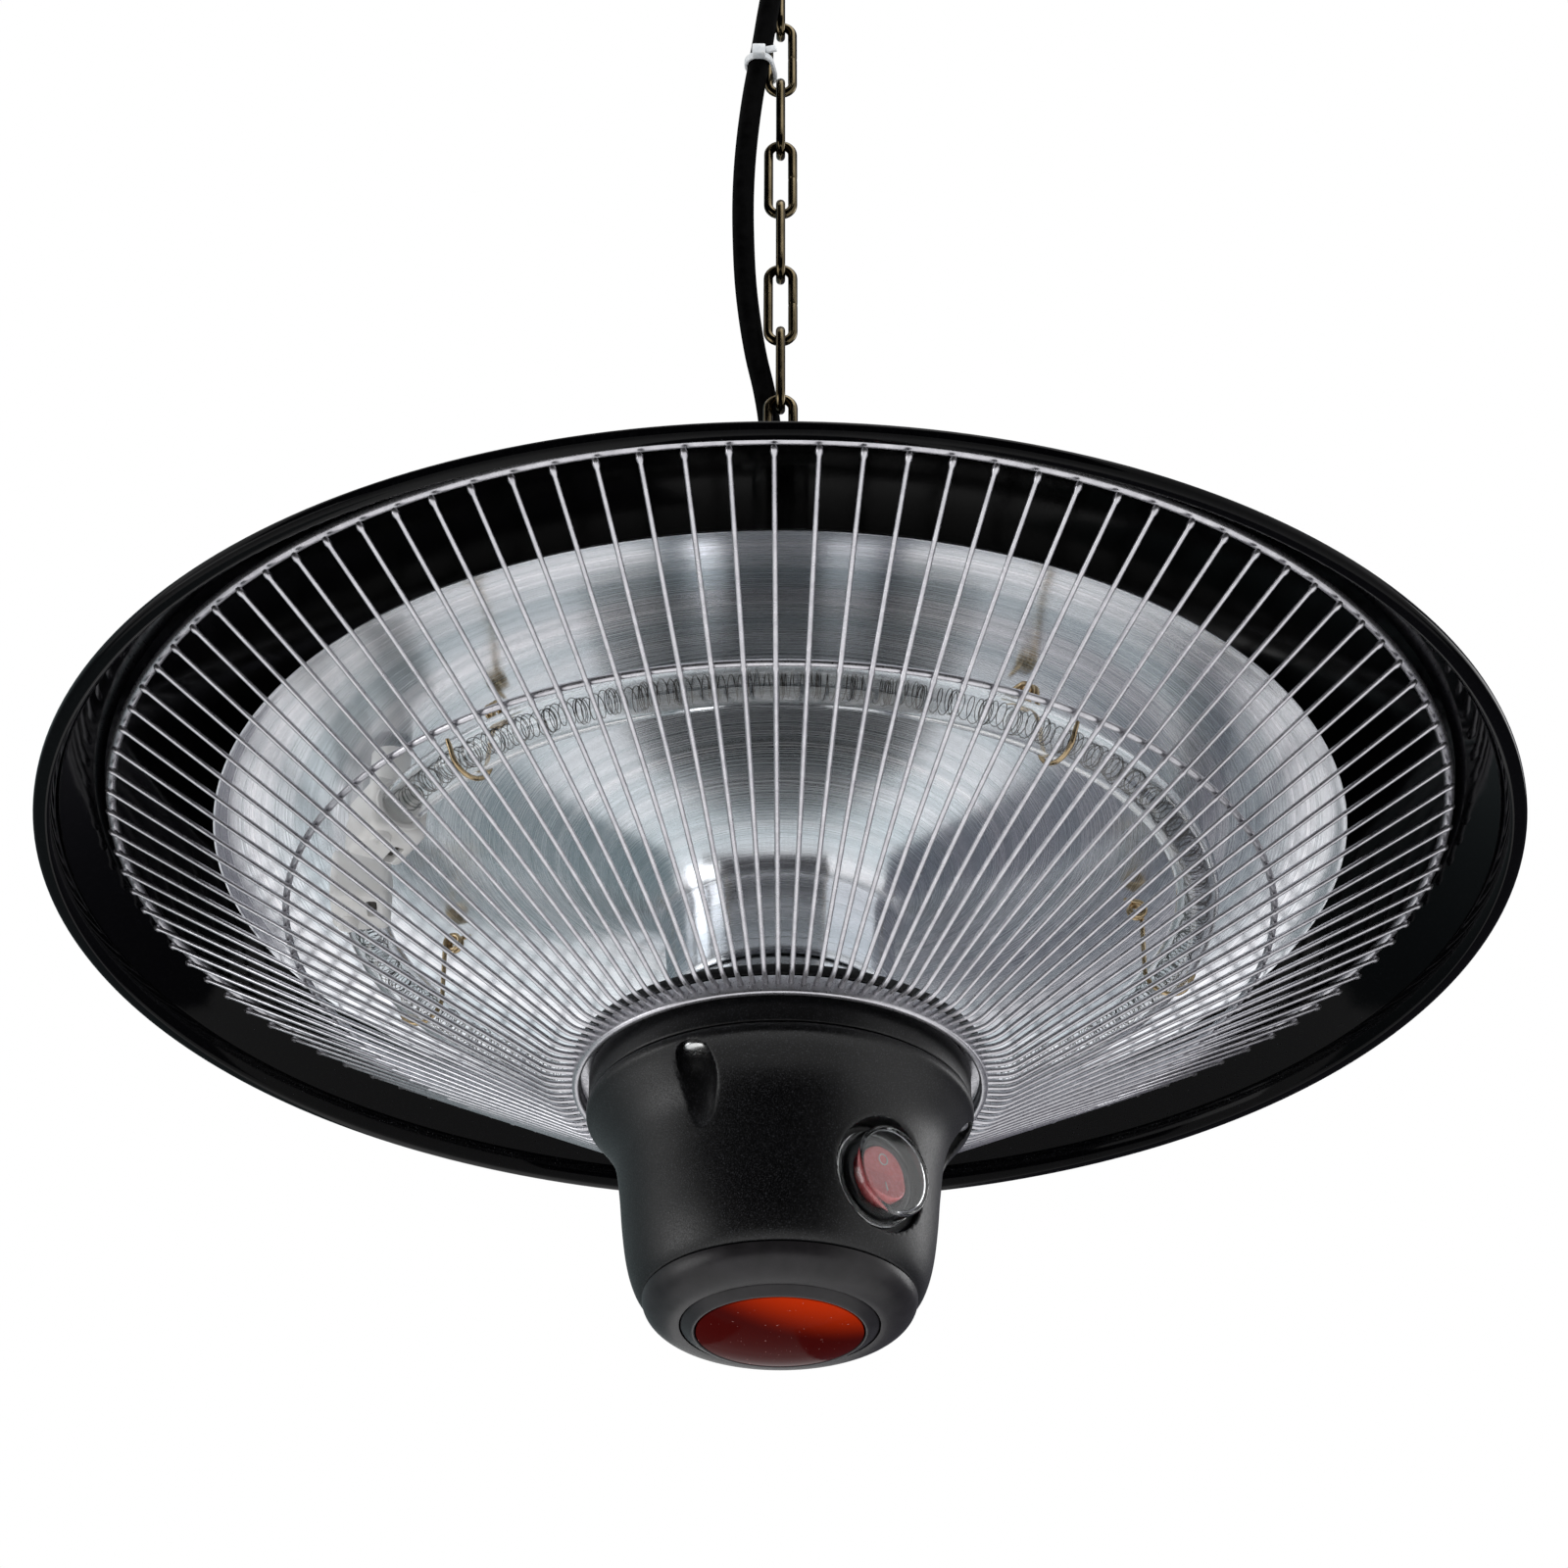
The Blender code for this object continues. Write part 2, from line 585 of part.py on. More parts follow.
def make_cap(heater, cable_drill):
    """The cap over the stack, and the strain relief that stands on it."""
    on_rim = {"parent": heater, "place": (0, 0, -PIVOT_ABOVE_RIM)}
    shoulder = arc((CAP_TOP_RADIUS - CAP_ROUND, CAP_TOP - CAP_ROUND), CAP_ROUND, math.pi / 2, math.radians(25), 2)
    lip = CAP_WALL
    outline = [(EYE_WIRE / 2 + CLEARANCE, CAP_TOP), *shoulder]
    outline += [(CAP_RADIUS, CAP_FOOT + lip), (CAP_RADIUS, CAP_FOOT), (CAP_RADIUS - CAP_WALL, CAP_FOOT)]
    outline += [(CAP_TOP_RADIUS - CAP_WALL, CAP_TOP - CAP_WALL - CAP_ROUND / 2)]
    outline += [(CAP_TOP_RADIUS - CAP_WALL - CAP_ROUND / 2, CAP_TOP - CAP_WALL)]
    outline += [(EYE_WIRE / 2 + CLEARANCE, CAP_TOP - CAP_WALL)]
    cap = turned("top_cap", outline, 24, finish="black_plastic", **on_rim)
    combine(cap, cable_drill, "DIFFERENCE")

    foot = CAP_TOP + CLEARANCE
    top = foot + GLAND_LENGTH
    neck = foot + GLAND_BASE_HEIGHT
    outline = [(0, top), (GLAND_TIP_RADIUS, top)]
    groove_step = (top - neck) / (GLAND_GROOVES + 1)
    for i in range(GLAND_GROOVES):
        height = top - groove_step * (i + 1)
        share = (top - height) / (top - neck)
        radius = GLAND_TIP_RADIUS + (GLAND_SHOULDER_RADIUS - GLAND_TIP_RADIUS) * share
        outline += [(radius, height + groove_step / 4), (radius - GLAND_GROOVE_DEPTH, height)]
    outline += [(GLAND_SHOULDER_RADIUS, neck), (GLAND_BASE_RADIUS, neck), (GLAND_BASE_RADIUS, foot), (0, foot)]
    turned(
        "cord_gland", outline, 14, closed=False, finish="rubber",
        parent=heater, place=(GLAND_X, GLAND_Y, -PIVOT_ABOVE_RIM),
    )  # fmt: skip


def make_reflector(heater, cable_drill):
    """The spun reflector with its drawn neck, and the sleeve between the neck and the guard."""
    on_rim = {"parent": heater, "place": (0, 0, -PIVOT_ABOVE_RIM)}
    rise = REFLECTOR_CROWN_HEIGHT - NECK_TOP_HEIGHT
    reach = REFLECTOR_RADIUS - NECK_RADIUS
    under = [(REFLECTOR_RADIUS, REFLECTOR_EDGE_HEIGHT)]
    under += [(NECK_RADIUS + reach * across, NECK_TOP_HEIGHT + rise * up) for across, up in REFLECTOR_SHARES]
    under += [(NECK_RADIUS, NECK_TOP_HEIGHT), (NECK_FOOT_RADIUS, NECK_FOOT_HEIGHT), (STEM_HOLE, NECK_FOOT_HEIGHT)]
    over = offset_outline(under, REFLECTOR_SHEET)
    over[-1] = (STEM_HOLE, NECK_FOOT_HEIGHT + REFLECTOR_SHEET)
    reflector = turned("reflector", over[::-1] + under, SHADE_STEPS, finish="spun_aluminium", **on_rim)
    combine(reflector, cable_drill, "DIFFERENCE")
    foot = SLEEVE_TOP - SLEEVE_LENGTH
    outer, inner = SLEEVE_RADIUS, SLEEVE_RADIUS - SLEEVE_WALL
    turned(
        "neck_sleeve", [(outer, SLEEVE_TOP), (outer, foot), (inner, foot), (inner, SLEEVE_TOP)],
        20, finish="spun_aluminium", **on_rim,
    )  # fmt: skip


def offset_outline(points, distance):
    """The line moved sideways by distance, to the right of its own direction."""
    line = np.array(points, float)
    ahead = np.diff(line, axis=0)
    ahead /= np.linalg.norm(ahead, axis=1)[:, None]
    sides = np.stack([ahead[:, 1], -ahead[:, 0]], axis=1)
    moved = []
    for i in range(len(line)):
        before, after = sides[max(i - 1, 0)], sides[min(i, len(sides) - 1)]
        middle = before + after
        middle /= np.linalg.norm(middle)
        moved.append(tuple(line[i] + middle * distance / (middle @ after)))
    return moved


def make_lamp(heater):
    """The quartz ring, its heating core, two ceramic holders and the spring clips."""
    on_rim = {"parent": heater, "place": (0, 0, -PIVOT_ABOVE_RIM)}
    first = LAMP_GAP_CENTRE + LAMP_HALF_GAP
    last = LAMP_GAP_CENTRE - LAMP_HALF_GAP + FULL_TURN
    end = LAMP_STRAIGHT_END / LAMP_RING_RADIUS
    middle = [first + end + (last - first - 2 * end) * i / LAMP_STEPS for i in range(LAMP_STEPS + 1)]
    line = [on_circle(LAMP_RING_RADIUS, angle, LAMP_HEIGHT) for angle in (first, *middle, last)]
    glass = tube("lamp_tube", line, LAMP_TUBE_RADIUS, 6, finish="quartz", **on_rim)
    glass.data.use_fill_caps = False
    glass = as_mesh(glass)
    wall = glass.modifiers.new("wall", "SOLIDIFY")
    wall.thickness = LAMP_TUBE_WALL
    wall.offset = -1
    tube("heating_coil", line, HEATING_CORE_RADIUS, 6, finish="heating_wire", **on_rim)

    for name, angle, side in (("lamp_holder_near", first, -1), ("lamp_holder_far", last, 1)):
        across = side * (HOLDER_LENGTH / 2 + CLEARANCE)
        holder = block(
            name, (HOLDER_WIDTH, HOLDER_LENGTH, HOLDER_HEIGHT), (LAMP_RING_RADIUS, across, LAMP_HEIGHT),
            HOLDER_BEVEL, turn=(0, 0, angle), finish="ceramic", **on_rim,
        )  # fmt: skip
        top = reflector_height(LAMP_RING_RADIUS) - CLEARANCE * 2
        post = round_bar(
            name + "_post", HOLDER_POST_RADIUS, LAMP_HEIGHT, top, 12,
            parent=holder, place=(LAMP_RING_RADIUS, across, 0), cutter=True,
        )  # fmt: skip
        combine(holder, post, "UNION")
    clip_points = clip_line()
    for number, step in enumerate(CLIP_AT_STEPS, start=1):
        tube(
            f"lamp_clip_{number}", clip_points, CLIP_WIRE / 2, 6,
            turn=(0, 0, middle[step]), finish="spring_wire", **on_rim,
        )  # fmt: skip


def reflector_height(radius):
    """The height of the reflector's underside at a radius outside its neck."""
    reach = REFLECTOR_RADIUS - NECK_RADIUS
    rise = REFLECTOR_CROWN_HEIGHT - NECK_TOP_HEIGHT
    known = [(0, NECK_TOP_HEIGHT)]
    known += [(reach * across, NECK_TOP_HEIGHT + rise * up) for across, up in REFLECTOR_SHARES[::-1]]
    known += [(reach, REFLECTOR_EDGE_HEIGHT)]
    return float(np.interp(radius - NECK_RADIUS, [k[0] for k in known], [k[1] for k in known]))


def clip_line():
    """A clip's wire in the XZ plane: a foot on the reflector, a leg, and a hook under the lamp."""
    hook_radius = LAMP_TUBE_RADIUS + CLIP_WIRE / 2 + CLEARANCE
    centre = (LAMP_RING_RADIUS, LAMP_HEIGHT)
    leg = LAMP_RING_RADIUS - hook_radius
    top = reflector_height(leg) - CLIP_WIRE / 2 - CLEARANCE * 2
    hook = arc(centre, hook_radius, math.pi, math.radians(345), CLIP_WRAP_STEPS)
    line = [(leg - CLIP_FOOT, top - CLEARANCE), (leg, top), *hook]
    tip = hook[-1]
    line.append((tip[0] + CLIP_WIRE, tip[1] + CLIP_WIRE * 2))
    return [(across, 0, height) for across, height in line]


def make_guard(heater, cable_drill):
    """The guard: a pressed hub with the radial wires welded to its edge, and two rings on them."""
    turn = {"parent": heater, "place": (0, 0, -PIVOT_ABOVE_RIM), "turn": (0, 0, GUARD_TURN)}
    foot = HUB_TOP_HEIGHT - HUB_DEPTH
    inner = HUB_RADIUS - HUB_WALL
    outline = [
        (STEM_HOLE, HUB_TOP_HEIGHT), (HUB_RADIUS, HUB_TOP_HEIGHT), (HUB_RADIUS, foot + HUB_ROUND),
        (HUB_RADIUS - HUB_ROUND / 2, foot), (inner - HUB_ROUND / 2, foot), (inner, HUB_PLATE_BELOW),
        (STEM_HOLE, HUB_PLATE_BELOW),
    ]  # fmt: skip
    grille = turned("guard_grille", outline, HUB_STEPS, finish="silver_paint", **turn)

    level = HUB_TOP_HEIGHT - WIRE_DROP
    bend = HUB_RADIUS + WIRE_BEND_RADIUS_OUT
    end = GUARD_RING_RADIUS + WIRE_OVERHANG
    slope = (WIRE_SLOPE_TOP - level) / (GUARD_RING_RADIUS - bend)
    points = [
        (HUB_RADIUS - WIRE_TIP_DEPTH, 0, level),
        (bend, 0, level),
        (end, 0, level + slope * (end - bend)),
    ]
    spoke = as_mesh(tube("guard_wires", points, WIRE_RADIUS, 4, cutter=True, **turn))
    work = bmesh.new()
    work.from_mesh(spoke.data)
    angle = FULL_TURN / WIRE_COUNT
    bmesh.ops.transform(work, matrix=Matrix.Rotation(angle / 2, 4, "Z"), verts=work.verts)
    bmesh.ops.spin(
        work, geom=work.verts[:] + work.edges[:] + work.faces[:], axis=(0, 0, 1), cent=(0, 0, 0),
        angle=angle * (WIRE_COUNT - 1), steps=WIRE_COUNT - 1, use_duplicate=True,
    )  # fmt: skip
    work.to_mesh(spoke.data)
    work.free()
    combine(grille, spoke, "UNION")
    combine(grille, cable_drill, "DIFFERENCE")

    tube(
        "guard_outer_ring", ring_points(GUARD_RING_RADIUS, GUARD_RING_HEIGHT, RING_STEPS),
        GUARD_RING_WIRE, 6, cyclic=True, finish="silver_paint", **turn,
    )  # fmt: skip
    lift = (MIDDLE_RING_WIRE + WIRE_RADIUS + CLEARANCE) / math.cos(math.atan(slope))
    middle_height = level + slope * (MIDDLE_RING_RADIUS - bend) + lift
    tube(
        "guard_middle_ring", ring_points(MIDDLE_RING_RADIUS, middle_height, RING_STEPS),
        MIDDLE_RING_WIRE, 4, cyclic=True, finish="silver_paint", **turn,
    )  # fmt: skip

    top = PLATE_TOP
    foot = HUB_TOP_HEIGHT + CLEARANCE
    plate = turned(
        "insulating_plate",
        [(STEM_HOLE, top), (HUB_RADIUS, top), (HUB_RADIUS, foot), (STEM_HOLE, foot)],
        HOUSING_STEPS, parent=heater, place=(0, 0, -PIVOT_ABOVE_RIM), finish="black_plastic",
    )  # fmt: skip
    combine(plate, cable_drill, "DIFFERENCE")


def make_housing(heater):
    """The collar, the bell with its screw recesses and switch pocket, the dome, lens ring and lens."""
    on_rim = {"parent": heater, "place": (0, 0, -PIVOT_ABOVE_RIM)}
    collar = turned(
        "housing_collar",
        [(COLLAR_RADIUS, COLLAR_TOP), (COLLAR_RADIUS, COLLAR_FOOT), (COLLAR_BORE, COLLAR_FOOT), (COLLAR_BORE, COLLAR_TOP)],
        HOUSING_STEPS, finish="black_plastic", **on_rim,
    )  # fmt: skip
    reach = BELL_RADIUS - BELL_FOOT_RADIUS
    outline = [(BELL_TOP_BORE, BELL_TOP), (BELL_RADIUS - CLEARANCE, BELL_TOP)]
    outline += [(BELL_FOOT_RADIUS + reach * out, BELL_FOOT + BELL_HEIGHT * up) for out, up in BELL_SHARES]
    outline += [(BELL_FOOT_RADIUS, BELL_FOOT), (BELL_FOOT_BORE, BELL_FOOT)]
    bell = turned("housing_bell", outline, HOUSING_STEPS, finish="black_plastic", **on_rim)

    for number in range(SCREW_COUNT):
        angle = SCREW_FIRST_ANGLE + FULL_TURN * number / SCREW_COUNT
        make_screw(heater, number + 1, angle, collar, bell)
    make_switch_pocket(heater, bell)

    outer, foot = BELL_FOOT_RADIUS - BASE_GAP, BASE_FOOT_RADIUS
    crown = [
        (foot + (outer - foot) * math.cos(a), BASE_TOP - BASE_LENGTH * math.sin(a))
        for a in (math.radians(step) for step in (0, 22, 44, 66, 90))
    ]
    outline = [*crown, (foot, BASE_FOOT + BASE_WALL), (outer - BASE_WALL - CLEARANCE, BASE_TOP)]
    turned("housing_base", outline, HOUSING_STEPS, finish="black_plastic", **on_rim)

    edge = BASE_FOOT_RADIUS - CLEARANCE
    top = LENS_RING_FOOT + LENS_RING_HEIGHT
    outline = [
        (edge, top), (edge, BASE_FOOT), (LENS_RING_BORE + CLEARANCE, LENS_RING_FOOT),
        (LENS_RING_BORE, LENS_RING_FOOT + CLEARANCE), (LENS_RING_BORE, top),
    ]  # fmt: skip
    turned("lens_ring", outline, HOUSING_STEPS, finish="black_plastic", **on_rim)

    edge = LENS_RING_BORE - CLEARANCE
    sphere = (edge**2 + LENS_BULGE**2) / (2 * LENS_BULGE)
    widest = math.asin(edge / sphere)
    middle = LENS_RING_FOOT - LENS_BULGE + sphere
    outline = [(0, LENS_RING_FOOT + LENS_EDGE), (edge, LENS_RING_FOOT + LENS_EDGE)]
    for i in range(LENS_POINTS + 1):
        angle = widest * (1 - i / LENS_POINTS)
        outline.append((sphere * math.sin(angle), middle - sphere * math.cos(angle)))
    outline[-1] = (0, middle - sphere)
    turned("receiver_lens", outline, HOUSING_STEPS, closed=False, finish="red_lens", **on_rim)


def make_screw(heater, number, angle, collar, bell):
    """One housing screw, the hole in the collar that it enters and its recess in the bell."""
    spot = {"parent": heater, "turn": (0, 0, angle)}
    x, y, _ = on_circle(SCREW_CIRCLE, angle, 0)
    spot["place"] = (x, y, -PIVOT_ABOVE_RIM)
    under = BELL_TOP - SCREW_RECESS_TOP
    head_top = under - CLEARANCE
    shank_top = head_top + SCREW_SHANK_LENGTH
    round_over = SCREW_HEAD_HEIGHT / 3
    outline = [
        (0, shank_top), (SCREW_SHANK_RADIUS, shank_top), (SCREW_SHANK_RADIUS, head_top),
        (SCREW_HEAD_RADIUS, head_top), (SCREW_HEAD_RADIUS, head_top - SCREW_HEAD_HEIGHT + round_over),
        (SCREW_HEAD_RADIUS * 3 / 4, head_top - SCREW_HEAD_HEIGHT), (0, head_top - SCREW_HEAD_HEIGHT),
    ]  # fmt: skip
    turned(f"housing_screw_{number}", outline, 10, closed=False, finish="steel", **spot)
    hole = round_bar(
        f"screw_hole_{number}", SCREW_SHANK_RADIUS + CLEARANCE, under - OVERRUN, shank_top + CLEARANCE, 8,
        cutter=True, **spot,
    )  # fmt: skip
    recess = round_bar(
        f"screw_recess_{number}", SCREW_RECESS_RADIUS, under - SCREW_RECESS_LENGTH, under, 16,
        cutter=True, **spot,
    )  # fmt: skip
    combine(collar, hole, "DIFFERENCE")
    combine(bell, hole, "DIFFERENCE")
    combine(bell, recess, "DIFFERENCE")


def facing(heater):
    """The placing of a piece turned about the switch's own axis, which points out of the bell."""
    return {
        "parent": heater,
        "place": (0, 0, SWITCH_HEIGHT - PIVOT_ABOVE_RIM),
        "turn": (0, math.pi / 2, SWITCH_ANGLE),
    }


def make_switch_pocket(heater, bell):
    """The round pocket in the bell's side, and the hole in its floor for the switch barrel."""
    pocket = round_bar(
        "switch_pocket", POCKET_RADIUS, POCKET_FLOOR, BELL_RADIUS, 32, cutter=True, **facing(heater)
    )
    hole = round_bar(
        "switch_hole", SWITCH_BARREL_RADIUS + CLEARANCE, BELL_FOOT_BORE / 2, POCKET_FLOOR + OVERRUN, 24,
        cutter=True, **facing(heater),
    )  # fmt: skip
    combine(bell, pocket, "DIFFERENCE")
    combine(bell, hole, "DIFFERENCE")


def make_switch(heater):
    """The switch barrel and bezel, the rocker on its own pivot, and the clear cover."""
    seat = POCKET_FLOOR + CLEARANCE
    front = seat + BEZEL_HEIGHT
    back = POCKET_FLOOR - SWITCH_BARREL_LENGTH
    well = front - ROCKER_WELL_DEPTH
    well_radius = ROCKER_RADIUS + CLEARANCE
    outline = [
        (0, well), (well_radius, well), (well_radius, front), (BEZEL_RADIUS - BEZEL_HEIGHT / 4, front),
        (BEZEL_RADIUS, front - BEZEL_HEIGHT / 4), (BEZEL_RADIUS, seat), (SWITCH_BARREL_RADIUS, seat),
        (SWITCH_BARREL_RADIUS, back), (0, back),
    ]  # fmt: skip
    turned("switch_body", outline, 14, closed=False, finish="black_plastic", **facing(heater))

    flange_top = seat + COVER_FLANGE
    top = seat + COVER_HEIGHT
    corner = (COVER_BODY_RADIUS - COVER_ROUND, top - COVER_ROUND)
    inner = COVER_BODY_RADIUS - COVER_WALL
    outline = [(0, top), *arc(corner, COVER_ROUND, math.pi / 2, 0, 2)]
    outline += [(COVER_BODY_RADIUS, flange_top), (COVER_RADIUS, flange_top), (COVER_RADIUS, seat), (inner, seat)]
    outline += [(inner, top - COVER_WALL - COVER_ROUND / 2), (inner - COVER_ROUND / 2, top - COVER_WALL)]
    outline += [(0, top - COVER_WALL)]
    turned("switch_cover", outline, 22, closed=False, finish="clear_plastic", **facing(heater))

    x, y, _ = on_circle(well + ROCKER_BACK, SWITCH_ANGLE, 0)
    hinge = pivot("rocker_pivot", heater, SWITCH_HEIGHT - PIVOT_ABOVE_RIM)
    hinge.location = (x, y, SWITCH_HEIGHT - PIVOT_ABOVE_RIM)
    hinge.rotation_euler = (0, math.pi / 2 - ROCKER_THROW, SWITCH_ANGLE)
    edge = (ROCKER_RADIUS - ROCKER_DEPTH * math.sin(ROCKER_THROW)) * math.cos(ROCKER_THROW)
    top = ROCKER_DEPTH + ROCKER_BACK
    rocker = round_bar("switch_rocker", edge, 0, top, 22, parent=hinge, finish="red_plastic")
    size = 2 * (ROCKER_RADIUS + OVERRUN)
    for name, side in (("rocker_cut_on", 1), ("rocker_cut_off", -1)):
        cut = block(
            name, (size, size, size), (side * size / 2, 0, size / 2), parent=hinge,
            place=(0, 0, ROCKER_DEPTH), turn=(0, -side * ROCKER_THROW, 0), cutter=True,
        )  # fmt: skip
        combine(rocker, cut, "DIFFERENCE")


def make_electrics(heater):
    """The control board, its infrared receiver, the terminal block and the inner cable."""
    on_rim = {"parent": heater, "place": (0, 0, -PIVOT_ABOVE_RIM)}
    top = BELL_TOP - BOARD_DROP
    share = BOARD_DROP / BELL_HEIGHT
    bore = BELL_TOP_BORE + (BELL_FOOT_BORE - BELL_TOP_BORE) * share
    round_bar("control_board", bore - CLEARANCE * 3, top - BOARD_THICKNESS, top, 22, finish="board_green", **on_rim)
    foot = top - BOARD_THICKNESS - CLEARANCE
    outline = [(0, foot), (RECEIVER_RADIUS, foot)]
    ball = foot - RECEIVER_HEIGHT + RECEIVER_RADIUS
    outline += arc((0, ball), RECEIVER_RADIUS, 0, -math.pi / 2, 4)[:-1]
    outline += [(0, ball - RECEIVER_RADIUS)]
    turned("infrared_receiver", outline, 10, closed=False, finish="black_gloss", **on_rim)
    block(
        "terminal_block", (TERMINAL_LENGTH, TERMINAL_WIDTH, TERMINAL_HEIGHT),
        (GLAND_X, GLAND_Y, top + CLEARANCE + TERMINAL_HEIGHT / 2), TERMINAL_BEVEL,
        finish="nylon", **on_rim,
    )  # fmt: skip
    round_bar(
        "inner_cable", CABLE_RADIUS, CABLE_FOOT, CAP_TOP, CABLE_SEGMENTS,
        parent=heater, place=(GLAND_X, GLAND_Y, -PIVOT_ABOVE_RIM), finish="rubber",
    )  # fmt: skip


def coil_strand(turns):
    """The coil's radius and depth after a number of turns: in, up one layer, and out again."""
    from_middle = turns - COIL_TURNS / 2
    radius = COIL_INNER_RADIUS + COIL_PITCH * abs(from_middle)
    climb = max(-1.0, min(1.0, from_middle * 4))
    return radius, COIL_PITCH / 2 * math.sin(climb * math.pi / 2)


def coil_line():
    """The coil's centreline: in through the front layer, then out through the back one."""
    line = []
    for i in range(COIL_TURNS * COIL_LOOP_POINTS + 1):
        turns = i / COIL_LOOP_POINTS
        radius, depth = coil_strand(turns)
        angle = FULL_TURN * turns
        line.append((COIL_X - radius * math.cos(angle), depth, COIL_HEIGHT + radius * math.sin(angle)))
    return line


def least_gap(line):
    """The least clear distance between stretches of the coil that aren't next to each other."""
    points = np.array(line)
    apart = COIL_LOOP_POINTS // 2
    closest = min(
        np.linalg.norm(points[i + apart :] - points[i], axis=1).min() for i in range(len(points) - apart)
    )
    return closest - CORD_DIAMETER


def length_of(line):
    """The length of a line of points."""
    return float(np.linalg.norm(np.diff(np.array(line), axis=0), axis=1).sum())


def make_cord(root, heater, links):
    """The mains cord: its rise beside the chain, the tied coil, the lead to the plug, and the plug."""
    coil = coil_line()
    first, last = coil[0], coil[-1]
    foot = (first[0], first[1], first[2] - COIL_LEAD)
    top = (last[0], last[1], last[2] + COIL_LEAD)
    below = (foot[0], foot[1], foot[2] - COIL_LEAD)
    above = (top[0], top[1], top[2] + COIL_LEAD)
    rise = smooth_path([*CORD_LIFT, below], CORD_STEP) + [foot]
    local = [(x, y, z - HEATER_PIVOT) for x, y, z in rise]
    tube("cord_rise", local, CORD_DIAMETER / 2, 8, parent=heater, finish="rubber")
    meets = (foot[0], foot[1], foot[2] + CLEARANCE)
    tube("cord_coil", [meets, *coil, top], CORD_DIAMETER / 2, 6, parent=root, finish="rubber")
    leaves = (top[0], top[1], top[2] + CLEARANCE)
    lead = [leaves, *smooth_path([above, *PLUG_LEAD], CORD_STEP / 2)]
    tube("plug_lead", lead, CORD_DIAMETER / 2, 8, parent=root, finish="rubber")
    total = length_of(rise) + length_of(coil) + length_of(lead) + 2 * COIL_LEAD
    print(f"cord: {total:.3f} m in all, coil {length_of(coil):.3f} m")
    print(f"coil: least gap to itself {least_gap(coil) * 1000:.2f} mm")
    make_plug(root, lead[-1])
    make_ties(root, links)


def make_plug(root, back):
    """The moulded plug, lying against the coil, and its two pins."""
    reach = PLUG_FACE_RADIUS - PLUG_BACK_RADIUS
    face = -PLUG_LENGTH
    outline = [(0, -CLEARANCE), (PLUG_BACK_RADIUS, -CLEARANCE)]
    outline += [(PLUG_BACK_RADIUS + reach * out, face * along) for along, out in PLUG_SHARES]
    outline += [(PLUG_FACE_RADIUS - CLEARANCE * 2, face), (0, face)]
    placing = {"parent": root, "place": back, "turn": (0, -math.pi / 2, 0)}
    turned("plug_body", outline, 14, closed=False, finish="rubber", **placing)
    for name, side in (("plug_pin_a", 1), ("plug_pin_b", -1)):
        x, y, z = back
        round_bar(
            name, PLUG_PIN_RADIUS, face - CLEARANCE - PLUG_PIN_LENGTH, face - CLEARANCE, 10,
            parent=root, place=(x, y, z + side * PLUG_PIN_SPACING / 2), turn=(0, -math.pi / 2, 0),
            finish="steel",
        )  # fmt: skip


def band(circles, gap, steps):
    """The line drawn taut round level circles of (x, y, radius), at a gap from them."""
    spots = []
    around = [FULL_TURN * i / steps for i in range(steps)]
    for x, y, radius in circles:
        reach = (radius + gap) / math.cos(math.pi / steps)
        spots += [(x + reach * math.cos(angle), y + reach * math.sin(angle)) for angle in around]
    spots.sort()
    outline = []
    for side in (spots, spots[::-1]):
        chain = []
        for spot in side:
            while len(chain) > 1 and bends_in(chain[-2], chain[-1], spot):
                chain.pop()
            chain.append(spot)
        outline += chain[:-1]
    return [(x, y, 0) for x, y in outline]


def bends_in(first, middle, last):
    """Whether the way through three points runs straight on or turns right at the middle one."""
    across = (middle[0] - first[0]) * (last[1] - first[1]) - (middle[1] - first[1]) * (last[0] - first[0])
    return across <= WELD**2


def make_ties(root, links):
    """The nylon tie round the cord and a link, and the one that holds the coil to the top link."""
    x, y = [
        np.interp(TIE_HEIGHT, [p[2] for p in CORD_LIFT], [p[axis] for p in CORD_LIFT]) for axis in (0, 1)
    ]
    gap = TIE_WIRE + CLEARANCE
    leg = (-LINK_BEND, 0, LINK_WIRE / 2)
    drop = TIE_HEIGHT - (FIRST_PIVOT - 2 * LINK_PITCH)
    loop = band([(x, y, CORD_DIAMETER / 2), leg], gap, TIE_STEPS)
    strap = as_mesh(tube("cord_tie", loop, TIE_WIRE, 6, cyclic=True, parent=links[4], place=(0, 0, drop)))
    strap.data.materials.append(material("nylon"))
    head = block(
        "cord_tie_head", (TIE_HEAD, TIE_HEAD, TIE_HEAD), (x, y - CORD_DIAMETER / 2 - gap - TIE_HEAD / 4, 0),
        parent=links[4], place=(0, 0, drop), cutter=True,
    )  # fmt: skip
    combine(strap, head, "UNION")

    legs = [(-COIL_X, side * LINK_BEND, LINK_WIRE / 2) for side in (1, -1)]
    strands = [coil_strand(turn) for turn in range(COIL_TURNS + 1)]
    tie_coil("coil_tie", root, 0, strands, legs)
    x, y, z = PLUG_LEAD[PLUG_TIE_STEPS]
    angle = math.atan2(z - COIL_HEIGHT, COIL_X - x)
    strands = [coil_strand(turn + angle / FULL_TURN) for turn in range(COIL_TURNS)]
    lead = (-math.hypot(x - COIL_X, z - COIL_HEIGHT), y, CORD_DIAMETER / 2)
    tie_coil("plug_tie", root, angle, strands, [lead])


